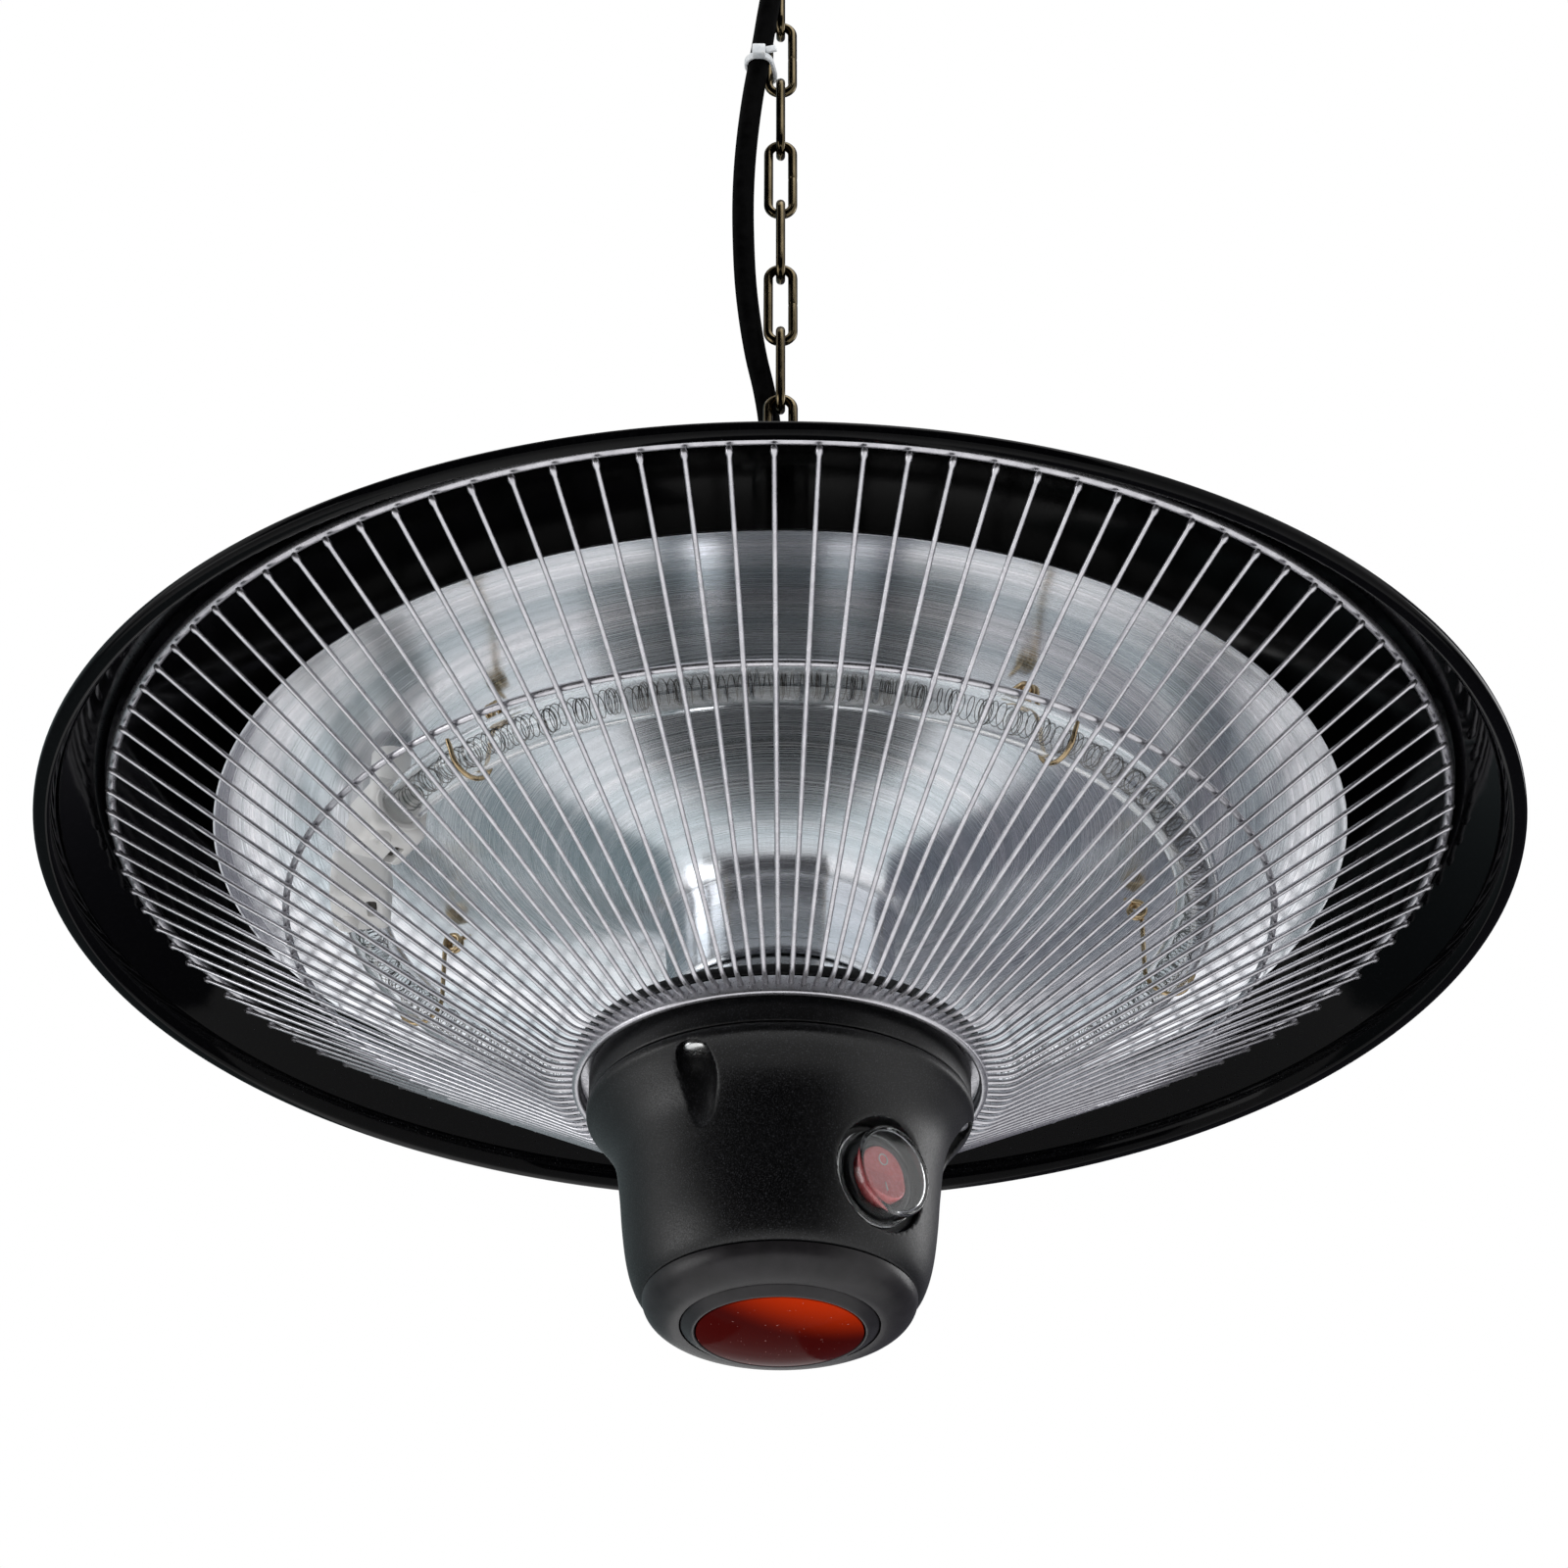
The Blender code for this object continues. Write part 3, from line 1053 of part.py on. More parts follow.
def tie_coil(name, root, angle, strands, others):
    """A nylon tie round the coil's strands where they pass an angle, and round others with them."""
    circles = [(-radius, depth, CORD_DIAMETER / 2) for radius, depth in strands] + others
    loop = band(circles, TIE_WIRE + CLEARANCE, TIE_STEPS)
    tube(
        name, loop, TIE_WIRE, 6, cyclic=True, parent=root,
        place=(COIL_X, 0, COIL_HEIGHT), turn=(0, angle, 0), finish="nylon",
    )  # fmt: skip


def build():
    """Makes the whole heater."""
    start_scene()
    root, links, _ = make_chain()
    heater = pivot("heater_pivot", links[LINK_COUNT], -LINK_PITCH)
    cable_drill = round_bar(
        "cable_drill", CABLE_HOLE, BELL_FOOT, CAP_TOP + CLEARANCE / 2, CABLE_SEGMENTS * 2,
        parent=heater, place=(GLAND_X, GLAND_Y, -PIVOT_ABOVE_RIM), cutter=True,
    )  # fmt: skip
    make_hanger(heater)
    make_shade(heater, cable_drill)
    make_cap(heater, cable_drill)
    make_reflector(heater, cable_drill)
    make_lamp(heater)
    make_guard(heater, cable_drill)
    make_housing(heater)
    make_switch(heater)
    make_electrics(heater)
    make_cord(root, heater, links)
    print(f"rim at {RIM:.4f} m, eye pivot at {HEATER_PIVOT:.4f} m")


build()
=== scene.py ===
"""How a hanging patio heater looks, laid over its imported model. Metres, +Z up, its front at -Y."""

import json
import math

import bmesh
import bpy
import numpy as np
from mathutils import Matrix, Vector

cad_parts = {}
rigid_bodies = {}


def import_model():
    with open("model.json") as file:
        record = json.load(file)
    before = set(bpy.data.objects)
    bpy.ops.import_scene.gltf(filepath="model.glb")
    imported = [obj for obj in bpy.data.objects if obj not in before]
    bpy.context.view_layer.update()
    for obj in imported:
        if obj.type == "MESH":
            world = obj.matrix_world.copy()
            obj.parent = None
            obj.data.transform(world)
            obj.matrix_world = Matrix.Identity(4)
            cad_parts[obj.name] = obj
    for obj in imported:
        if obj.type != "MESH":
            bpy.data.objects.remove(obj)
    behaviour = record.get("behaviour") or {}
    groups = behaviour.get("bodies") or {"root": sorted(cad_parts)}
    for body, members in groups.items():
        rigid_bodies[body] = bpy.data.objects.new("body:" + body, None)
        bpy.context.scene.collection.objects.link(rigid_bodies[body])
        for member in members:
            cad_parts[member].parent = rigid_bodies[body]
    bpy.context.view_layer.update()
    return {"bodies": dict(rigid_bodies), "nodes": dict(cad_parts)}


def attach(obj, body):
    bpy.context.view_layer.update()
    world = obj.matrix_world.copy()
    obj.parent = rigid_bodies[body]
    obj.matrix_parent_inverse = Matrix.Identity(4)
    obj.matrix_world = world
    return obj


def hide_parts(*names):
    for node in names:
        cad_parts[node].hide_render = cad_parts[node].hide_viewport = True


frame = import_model()

# The camera stands 1.1 m from the middle of the shade's rim, in front of it and well below, and
# looks up. RIM is the height of the rim's plane; the heater's own heights are counted from it.
RIM = -0.40445
CAMERA_DISTANCE = 1.1
CAMERA_ASIDE = 0.0011
CAMERA_BELOW = math.radians(30.62)
CAMERA_LOOKS_UP = math.radians(31.96)
SENSOR_MM = 36
LENS_MM = 87.6


def new_object(name, data):
    """A new object in the scene."""
    made = bpy.data.objects.new(name, data)
    bpy.context.scene.collection.objects.link(made)
    return made


camera = new_object("camera", bpy.data.cameras.new("camera"))
camera.data.sensor_width = SENSOR_MM
camera.data.lens = LENS_MM
camera.location = (
    CAMERA_ASIDE,
    -CAMERA_DISTANCE * math.cos(CAMERA_BELOW),
    RIM - CAMERA_DISTANCE * math.sin(CAMERA_BELOW),
)
camera.rotation_euler = (math.pi / 2 + CAMERA_LOOKS_UP, 0, 0)
bpy.context.scene.camera = camera
bpy.context.scene.view_settings.view_transform = "Standard"

# The studio: white all round, a pale floor well below the hung heater, and soft square lamps at the
# left, at the right and above. The white shows to the eye, in metal and through glass.
FLOOR_HEIGHT = -2.3
FLOOR_REACH = 9
FLOOR_GLOW = 0.7
ROOM_LIGHT = 0.6


def node(tree, kind, inputs=(), **choices):
    """A shader node. An input that is given another node's output is linked, and any other is set."""
    made = tree.nodes.new(f"ShaderNode{kind}")
    for name, choice in choices.items():
        setattr(made, name, choice)
    for name, value in dict(inputs).items():
        if isinstance(value, bpy.types.NodeSocket):
            tree.links.new(value, made.inputs[name])
        else:
            made.inputs[name].default_value = value
    return made


def seen_by_eye(tree):
    """1 for rays that the eye sees by, straight, in metal or through glass, and 0 for light that falls."""
    outputs = node(tree, "LightPath").outputs
    straight, mirrored, through = [outputs[f"Is {kind} Ray"] for kind in ("Camera", "Glossy", "Transmission")]
    either = node(tree, "Math", {0: straight, 1: mirrored}, operation="MAXIMUM")
    return node(tree, "Math", {0: either.outputs[0], 1: through}, operation="MAXIMUM").outputs[0]


world = bpy.data.worlds.new("studio")
world.use_nodes = True
tree = world.node_tree
tree.nodes.clear()
level = node(tree, "MapRange", {"Value": seen_by_eye(tree), "To Min": ROOM_LIGHT, "To Max": 1.0})
white = node(tree, "Background", {"Color": (1, 1, 1, 1), "Strength": level.outputs[0]})
node(tree, "OutputWorld", {"Surface": white.outputs[0]})
bpy.context.scene.world = world


def lamp(name, place, aim, side, watts):
    """A soft square lamp that shines from place towards aim."""
    light = bpy.data.lights.new(name, "AREA")
    light.size = side
    light.energy = watts
    made = new_object(name, light)
    made.location = place
    made.rotation_euler = (Vector(aim) - Vector(place)).to_track_quat("-Z", "Y").to_euler()
    made.visible_camera = False


lamp("left_lamp", (-1.7, -0.5, -0.8), (0, 0, -0.42), 1.0, 9)
lamp("right_lamp", (1.8, 0.95, 0.2), (0, 0, -0.42), 1.1, 12)
lamp("top_lamp", (0.6, -0.9, 1.6), (0, 0, -0.3), 1.4, 18)


def new_shape(name, points, faces, *looks):
    """A new object in the scene, with a mesh of these points and faces."""
    mesh = bpy.data.meshes.new(name)
    mesh.from_pydata(points, [], faces)
    for look in looks:
        mesh.materials.append(look)
    return new_object(name, mesh)


def polar(radius, angle):
    """The x and y of a point at a radius and an angle."""
    return radius * math.cos(angle), radius * math.sin(angle)


def speckle(tree, scale, detail, stretch=(1, 1, 1)):
    """Noise in the piece's own space, with spots about 1 / scale metres across."""
    place = node(tree, "TexCoord").outputs["Object"]
    fitted = node(tree, "Mapping", {"Vector": place, "Scale": stretch})
    noise = node(tree, "TexNoise", {"Vector": fitted.outputs[0], "Scale": scale, "Detail": detail})
    return noise.outputs["Fac"]


def between(tree, share, low, high, start=0.3, end=0.7):
    """Runs from low to high as share goes from start to end; both are numbers or both colours."""
    if isinstance(low, tuple):
        ramp = node(tree, "ValToRGB", {"Fac": share})
        for stop, spot, colour in ((0, start, low), (1, end, high)):
            ramp.color_ramp.elements[stop].position = spot
            ramp.color_ramp.elements[stop].color = (*colour, 1)
        return ramp.outputs["Color"]
    values = {"Value": share, "From Min": start, "From Max": end, "To Min": low, "To Max": high}
    return node(tree, "MapRange", values).outputs[0]


def relief(tree, surface, height, strength, depth):
    """Raises the surface by a height pattern, depth metres at most."""
    bump = node(tree, "Bump", {"Height": height, "Strength": strength, "Distance": depth})
    tree.links.new(bump.outputs[0], surface.inputs["Normal"])


def finish(name, colour, roughness, metallic=0.0, tones=None, gloss=None, grain=None, **sockets):
    """A new material with its plain values set, which noise then varies.

    tones for the colour and gloss for the roughness hold the noise's scale and detail, then what
    between() takes. grain holds the noise's scale and detail, the relief's strength and depth, and
    the noise's stretch.
    """
    made = bpy.data.materials.new(name)
    made.use_nodes = True
    tree = made.node_tree
    surface = tree.nodes["Principled BSDF"]
    surface.inputs["Base Color"].default_value = (*colour, 1)
    surface.inputs["Roughness"].default_value = roughness
    surface.inputs["Metallic"].default_value = metallic
    for socket, value in sockets.items():
        surface.inputs[socket.replace("_", " ")].default_value = value
    for socket, pattern in (("Base Color", tones), ("Roughness", gloss)):
        if pattern:
            scale, detail, *span = pattern
            tree.links.new(between(tree, speckle(tree, scale, detail), *span), surface.inputs[socket])
    if grain:
        scale, detail, strength, depth, *stretch = grain
        relief(tree, surface, speckle(tree, scale, detail, *stretch), strength, depth)
    return made


floor_paint = finish("pale_floor", (0.84, 0.84, 0.84), 0.8)
tree = floor_paint.node_tree
lift = node(tree, "Math", {0: seen_by_eye(tree), 1: FLOOR_GLOW}, operation="MULTIPLY")
glow = node(tree, "Emission", {"Strength": lift.outputs[0]})
both = node(tree, "AddShader", {0: tree.nodes["Principled BSDF"].outputs[0], 1: glow.outputs[0]})
tree.links.new(both.outputs[0], tree.nodes["Material Output"].inputs["Surface"])
corners = [(x * FLOOR_REACH, y * FLOOR_REACH, FLOOR_HEIGHT) for x, y in ((-1, -1), (1, -1), (1, 1), (-1, 1))]
new_shape("floor", corners, [(0, 1, 2, 3)], floor_paint)

# Dark cloths hang round the studio, out of the picture, with gaps at the sides and a strip of white left
# behind the heater. They glow faintly with their own tones and show only in reflections, lighting and shading
# nothing: painted reflections of a dark room, without which bright metal would reflect white from every side.
CLOTH_DISTANCE = 2.3
CLOTH_TOP = 2.6
CLOTH_STRIPS = 24

for name, first, last, reflected_tone in (
    ("front", -165, -45, (0.006, 0.006, 0.007)),
    ("back_right", 15, 86, (0.13, 0.13, 0.155)),
    ("back_left", 101, 165, (0.22, 0.27, 0.28)),
):
    # Each sheet's tone is emitted, not dyed, and is seen only as a painted reflection.
    reflection_glow = bpy.data.materials.new(f"{name}_dye")
    reflection_glow.use_nodes = True
    tree = reflection_glow.node_tree
    tree.nodes.clear()
    shine = node(tree, "Emission", {"Color": (*reflected_tone, 1), "Strength": 1.0})
    node(tree, "OutputMaterial", {"Surface": shine.outputs[0]})
    spots = [
        (*polar(CLOTH_DISTANCE, a), height)
        for a in np.radians(np.linspace(first, last, CLOTH_STRIPS + 1))
        for height in (FLOOR_HEIGHT, CLOTH_TOP)
    ]
    strips = [(2 * k, 2 * k + 2, 2 * k + 3, 2 * k + 1) for k in range(CLOTH_STRIPS)]
    cloth = new_shape(f"{name}_cloth", spots, strips, reflection_glow)
    cloth.visible_camera = cloth.visible_diffuse = cloth.visible_shadow = False

# The mains cord: 1.8 m of 7 mm rubber-sheathed cable. It rises from the strain relief beside the
# chain, is tied to the chain, and its spare length is coiled at the top link, with the plug on it.
CORD_RADIUS = 0.0035
CORD_SIDES = 16
CORD_STEP = 0.003
CORD_EXIT = (-0.0025, 0.017, -0.2757)
CORD_RISE = [
    CORD_EXIT, (-0.0025, 0.017, -0.2679), (-0.0026, 0.0155, -0.2579),
    (-0.0028, 0.012, -0.2469), (-0.0034, 0.0088, -0.2359), (-0.0052, 0.0066, -0.2239),
    (-0.0077, 0.005, -0.2119), (-0.0098, 0.0035, -0.1979), (-0.0112, 0.002, -0.1839),
    (-0.0119, 0.0, -0.1689), (-0.0121, -0.0016, -0.1539), (-0.0116, -0.0031, -0.1389),
    (-0.0104, -0.0045, -0.1239), (-0.0088, -0.0056, -0.1099), (-0.0072, -0.0062, -0.0989),
    (-0.0058, -0.0067, -0.0889), (-0.0043, -0.0079, -0.0779), (-0.0027, -0.0094, -0.0679),
    (-0.001, -0.01, -0.0579), (0.0014, -0.0097, -0.0479), (0.004, -0.008, -0.0379),
    (0.0062, -0.0057, -0.0289), (0.0075, -0.0038, -0.02),
]
COIL_FOOT = (0.0075, -0.0038, -0.013)
COIL_X = 0.0573
COIL_Z = -0.006
COIL_TURNS = 6
COIL_INNER_RADIUS = 0.027
COIL_PITCH = 0.0076
STEPS_IN_TURN = 48
LEAD_TO_PLUG = [
    (0.0075, 0.0038, 0.0013), (0.0075, 0.0038, 0.008), (0.0116, 0.0066, 0.0165),
    (0.0172, 0.0095, 0.0219), (0.0246, 0.0117, 0.0267), (0.0345, 0.0148, 0.032),
    (0.044, 0.0198, 0.0365), (0.052, 0.0242, 0.0392), (0.059, 0.0256, 0.04),
    (0.063, 0.0256, 0.04),
]


def smooth_line(points, step):
    """Points about one step apart on a smooth curve through the given ones."""
    known = np.array(points, float)
    knots = np.concatenate([[0], np.cumsum(np.linalg.norm(np.diff(known, axis=0), axis=1) ** 0.5)])
    known = np.vstack([2 * known[0] - known[1], known, 2 * known[-1] - known[-2]])
    knots = np.concatenate([[2 * knots[0] - knots[1]], knots, [2 * knots[-1] - knots[-2]]])

    def mix(low, high, t, first, last):
        return low + (high - low) * (t - knots[first]) / (knots[last] - knots[first])

    fine = []
    for i in range(1, len(known) - 2):
        for t in np.linspace(knots[i], knots[i + 1], 16, endpoint=False):
            a, b, c = [mix(known[j], known[j + 1], t, j, j + 1) for j in (i - 1, i, i + 1)]
            fine.append(mix(mix(a, b, t, i - 1, i + 1), mix(b, c, t, i, i + 2), t, i, i + 1))
    fine = np.array([*fine, known[-2]])
    along = np.concatenate([[0], np.cumsum(np.linalg.norm(np.diff(fine, axis=0), axis=1))])
    wanted = np.linspace(0, along[-1], max(2, round(along[-1] / step)) + 1)
    return np.stack([np.interp(wanted, along, fine[:, k]) for k in range(fine.shape[1])], axis=1)


def round_wire(line, radius, sides=12, ring=False, first_side=(0.31, 0.17, 0.93)):
    """A round wire along a line: its points and faces. A ring has no ends, and radius may change."""
    line = np.array(line, float)
    ahead = np.roll(line, -1, 0) - np.roll(line, 1, 0) if ring else np.gradient(line, axis=0)
    ahead /= np.linalg.norm(ahead, axis=1)[:, None]
    thick = np.broadcast_to(np.array(radius, float), (len(line),))
    side = np.array(first_side, float)
    points, faces = [], []
    for i, spot in enumerate(line):
        side = side - ahead[i] * (side @ ahead[i])
        side /= np.linalg.norm(side)
        other = np.cross(ahead[i], side)
        for k in range(sides):
            turn = 2 * math.pi * k / sides
            points.append(spot + thick[i] * (math.cos(turn) * side + math.sin(turn) * other))
    rows = len(line) if ring else len(line) - 1
    for i in range(rows):
        for k in range(sides):
            here, there = i * sides, (i + 1) % len(line) * sides
            faces.append((here + k, here + (k + 1) % sides, there + (k + 1) % sides, there + k))
    if not ring:
        faces.append(tuple(range(sides))[::-1])
        faces.append(tuple(len(points) - sides + k for k in range(sides)))
    return points, faces


def add_piece(name, parts, look, body, *stands_for, slot, sharp=40):
    """One piece of the heater, from parts of points and faces. It rides on a body and stands for nodes."""
    points, faces = [], []
    for part_points, part_faces in parts:
        start = len(points)
        points += [tuple(spot) for spot in part_points]
        faces += [tuple(start + corner for corner in face) for face in part_faces]
    made = new_shape(name, points, faces, look)
    made.data.shade_smooth()
    made.data.set_sharp_from_angle(angle=math.radians(sharp))
    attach(made, body)
    if stands_for:
        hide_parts(*stands_for)
    return made


rubber = finish(
    "cord_rubber", (0.002, 0.002, 0.002), 0.5, Specular_IOR_Level=0.06, IOR=1.2, gloss=(240, 4, 0.42, 0.6),
    tones=(240, 4, (0.0012, 0.0012, 0.0013), (0.004, 0.004, 0.0042)), grain=(1100, 2, 0.2, 0.0001),
)


def coil_radius(from_middle):
    """The coil's radius, a number of turns from its middle one. The cord spirals in and out again."""
    return COIL_INNER_RADIUS + COIL_PITCH * abs(from_middle)


def coil_depth(from_middle):
    """How far the cord lies behind the coil's middle plane. It crosses over at the middle turn."""
    return COIL_PITCH / 2 * math.sin(max(-1.0, min(1.0, 4 * from_middle)) * math.pi / 2)


coil = []
for step in range(COIL_TURNS * STEPS_IN_TURN + 1):
    turns = step / STEPS_IN_TURN
    from_middle = turns - COIL_TURNS / 2
    radius = coil_radius(from_middle)
    angle = 2 * math.pi * turns
    across = COIL_X - radius * math.cos(angle)
    coil.append((across, coil_depth(from_middle), COIL_Z + radius * math.sin(angle)))
cord_rise = smooth_line(CORD_RISE, CORD_STEP)
cord_line = np.vstack([cord_rise, [COIL_FOOT], coil, smooth_line(LEAD_TO_PLUG, CORD_STEP)])
cord = add_piece(
    "mains_cord", [round_wire(cord_line, CORD_RADIUS, CORD_SIDES)], rubber, "top", "cord_rise", "cord_coil",
    "plug_lead", slot="cord_rubber",
)

# The stretch beside the chain is held by the tie at the fourth link and by the strain relief, and
# bends with the chain. Each bone follows one body, and each point of the cord the nearest two.
BENDS_WITH = [
    ("top", -0.02), ("link_02", -0.042), ("link_03", -0.068), ("link_04", -0.0985), ("link_06", -0.145),
    ("link_08", -0.197), ("link_09", -0.222), ("link_10", -0.247), ("heater", -0.272),
]
bones = new_object("cord_bones", bpy.data.armatures.new("cord_bones"))
bpy.context.view_layer.objects.active = bones
bpy.ops.object.mode_set(mode="EDIT")
for body, height in BENDS_WITH:
    bone = bones.data.edit_bones.new(body)
    bone.head = (0, 0, height)
    bone.tail = (0, 0, height - 0.01)
bpy.ops.object.mode_set(mode="OBJECT")
drops = np.zeros(len(cord.data.vertices))
drops[:CORD_SIDES * len(cord_rise)] = -np.repeat(cord_rise[:, 2], CORD_SIDES)
for number, (body, _) in enumerate(BENDS_WITH):
    follow = bones.pose.bones[body].constraints.new("CHILD_OF")
    follow.target = frame["bodies"][body]
    group = cord.vertex_groups.new(name=body)
    held = [1.0 if k == number else 0.0 for k in range(len(BENDS_WITH))]
    shares = np.interp(drops, [-height for _, height in BENDS_WITH], held)
    for index in np.flatnonzero(shares):
        share = float(shares[index])
        group.add([int(index)], share * share * (3 - 2 * share), "REPLACE")
bend = cord.modifiers.new("bend", "ARMATURE")
bend.object = bones

# The plug at the cord's end: one moulding of black rubber with a flat round face, grip grooves on
# its narrow back, and two round nickel-plated pins with rounded tips.
PIN_RADIUS = 0.0024
PIN_ASIDE = 0.0095
PIN_ROOT = -0.0433
PIN_TIP = -0.0623


def skin(rows, closed=False):
    """Faces across rows of points that all run round the same way, each row below the one before."""
    points, numbered, faces = [], [], []
    for row in rows:
        if len(row) == 1:
            numbered.append([len(points)] * max(len(other) for other in rows))
        else:
            numbered.append(list(range(len(points), len(points) + len(row))))
        points += row
    for upper, lower in zip(numbered, numbered[1:] + ([numbered[0]] if closed else [])):
        for k in range(len(upper)):
            after = (k + 1) % len(upper)
            corners = list(dict.fromkeys((upper[k], lower[k], lower[after], upper[after])))
            if len(corners) > 2:
                faces.append(tuple(corners))
    return points, faces


def turned(outline, steps, closed=True, ease=0.0, rounds=3):
    """A turned part about the upright axis. Its outline of (radius, height) runs down the outer side."""
    if ease:
        outline = eased(outline, ease, rounds, closed)
    turns = [2 * math.pi * k / steps for k in range(steps)]
    rows = []
    for radius, height in outline:
        if radius < 1e-6:
            rows.append([(0.0, 0.0, height)])
        else:
            rows.append([(*polar(radius, a), height) for a in turns])
    return skin(rows, closed)


def eased(outline, radius, steps=3, closed=True):
    """The outline with its corners rounded by about radius, and by less where its sides are short."""
    spots = [np.array(spot, float) for spot in outline]
    made = []
    for i, spot in enumerate(spots):
        if not closed and i in (0, len(spots) - 1):
            made.append(tuple(spot))
            continue
        ways = [spots[i - 1] - spot, spots[(i + 1) % len(spots)] - spot]
        start, end = [spot + way * min(0.45, radius / np.linalg.norm(way)) for way in ways]
        for k in range(steps + 1):
            t = k / steps
            made.append(tuple((1 - t) ** 2 * start + 2 * t * (1 - t) * spot + t * t * end))
    return made


def shift(x, y, z):
    """A matrix that moves along."""
    return Matrix.Translation((x, y, z))


def spin(angle, axis):
    """A matrix that turns about an axis."""
    return Matrix.Rotation(angle, 4, axis)


def put(part, place):
    """The part moved by a matrix."""
    points, faces = part
    return [tuple(place @ Vector(spot)) for spot in points], faces


PLUG_BACK = shift(0.063, 0.0256, 0.04) @ spin(-math.pi / 2, "Y")

plug_rubber = finish(
    "plug_rubber", (0.005, 0.005, 0.0055), 0.48, Specular_IOR_Level=0.2, gloss=(300, 4, 0.4, 0.58),
    grain=(2200, 2, 0.25, 0.0001),
)
outline = [(0, -0.0003), (0.0048, -0.0003)]
for groove in range(4):
    height = -0.0024 - groove * 0.0026
    outline += [
        (0.0049, height), (0.0043, height - 0.0004), (0.0043, height - 0.001), (0.0051, height - 0.0014),
    ]
outline += [
    (0.0061, -0.0129), (0.0082, -0.0206), (0.013, -0.0241), (0.0171, -0.0275), (0.018, -0.031),
    (0.018, -0.042), (0.0174, -0.043), (0, -0.043),
]
plug = add_piece(
    "mains_plug", [put(turned(outline, 64, False, 0.0009), PLUG_BACK)], plug_rubber, "top", "plug_body",
    slot="plug_black",
)

nickel = finish(
    "nickel_plate", (0.72, 0.71, 0.69), 0.2, 1.0, gloss=(420, 4, 0.14, 0.32),
    grain=(900, 3, 0.08, 0.0001, (1, 1, 6)),
)
pin = [(0, PIN_ROOT), (PIN_RADIUS, PIN_ROOT), (PIN_RADIUS, PIN_TIP), (0, PIN_TIP)]
pin = turned(pin, 32, False, 0.0011, 4)
pins = [
    add_piece(
        name, [put(pin, PLUG_BACK @ shift(aside, 0, 0))], nickel, "top", pin_node, slot="plated_steel",
    )
    for name, aside, pin_node in (
        ("plug_contact_1", PIN_ASIDE, "plug_pin_a"), ("plug_contact_2", -PIN_ASIDE, "plug_pin_b"),
    )
]

# Three nylon cable ties: flat ribbed straps drawn tight, with a square head and a tail cut short.
# One holds the cord to the chain, one the coil to the top link, and one the plug's lead to the coil.
STRAP_THICKNESS = 0.001
STRAP_WIDTH = 0.0025
STRAP_GAP = 0.0003
STRAP_EASE = 0.0002
TIE_HEAD = 0.0044
HEAD_TURN = -1.5708
CHAIN_TIE_HEIGHT = -0.0985
LINK_WIRE = 0.0015
LINK_BEND = 0.0039


def strap(circles, tail):
    """A tie round level circles of (x, y, radius), with its head at their front and its tail's end there."""
    around = [2 * math.pi * k / 32 for k in range(32)]
    spots = sorted(
        (x + (radius + STRAP_GAP) * math.cos(a), y + (radius + STRAP_GAP) * math.sin(a))
        for x, y, radius in circles for a in around
    )
    loop = []
    for side in (spots, spots[::-1]):
        run = []
        for x, y in side:
            while len(run) > 1:
                (x0, y0), (x1, y1) = run[-2:]
                if (x1 - x0) * (y - y0) - (y1 - y0) * (x - x0) > 1e-12:
                    break
                run.pop()
            run.append((x, y))
        loop += run[:-1]
    inner = np.array(loop)
    ahead = np.roll(inner, -1, 0) - np.roll(inner, 1, 0)
    ahead /= np.linalg.norm(ahead, axis=1)[:, None]
    outward = np.stack([ahead[:, 1], -ahead[:, 0]], axis=1)
    half = STRAP_WIDTH / 2
    far = STRAP_THICKNESS
    section = [
        (far, half - STRAP_EASE), (far, STRAP_EASE - half), (far - STRAP_EASE, -half), (STRAP_EASE, -half),
        (0, STRAP_EASE - half), (0, half - STRAP_EASE), (STRAP_EASE, half), (far - STRAP_EASE, half),
    ]
    rows = [[(*(spot + out * away), height) for spot, out in zip(inner, outward)] for away, height in section]
    way = np.array(polar(1, HEAD_TURN))
    spot = inner[int(np.argmax(inner @ way))] + way * (STRAP_THICKNESS + TIE_HEAD * 0.28)
    turn = shift(*spot, 0) @ spin(HEAD_TURN, "Z")
    lie = turn @ shift(TIE_HEAD * 0.12, TIE_HEAD / 2 + tail / 2, 0.0004) @ spin(0.25, "X")
    return [
        skin(rows, True),
        put(soft_block((TIE_HEAD * 0.72, TIE_HEAD, TIE_HEAD), 0.0005), turn),
        put(soft_block((STRAP_THICKNESS, tail, STRAP_WIDTH), STRAP_EASE), lie),
    ]


def soft_block(size, ease, steps=3):
    """A block with rounded edges, its middle at the origin."""
    work = bmesh.new()
    bmesh.ops.create_cube(work, size=1)
    bmesh.ops.scale(work, verts=work.verts, vec=size)
    bmesh.ops.bevel(work, geom=work.edges[:], offset=ease, segments=steps, profile=0.5, affect="EDGES")
    work.verts.index_update()
    part = [tuple(v.co) for v in work.verts], [tuple(v.index for v in f.verts) for f in work.faces]
    work.free()
    return part


def coil_strands(share, count):
    """Circles where turns of the coil cut a plane through its axis, a share of a turn on from its foot."""
    turns = [k + share - COIL_TURNS / 2 for k in range(count)]
    return [(-coil_radius(turn), coil_depth(turn), CORD_RADIUS) for turn in turns]


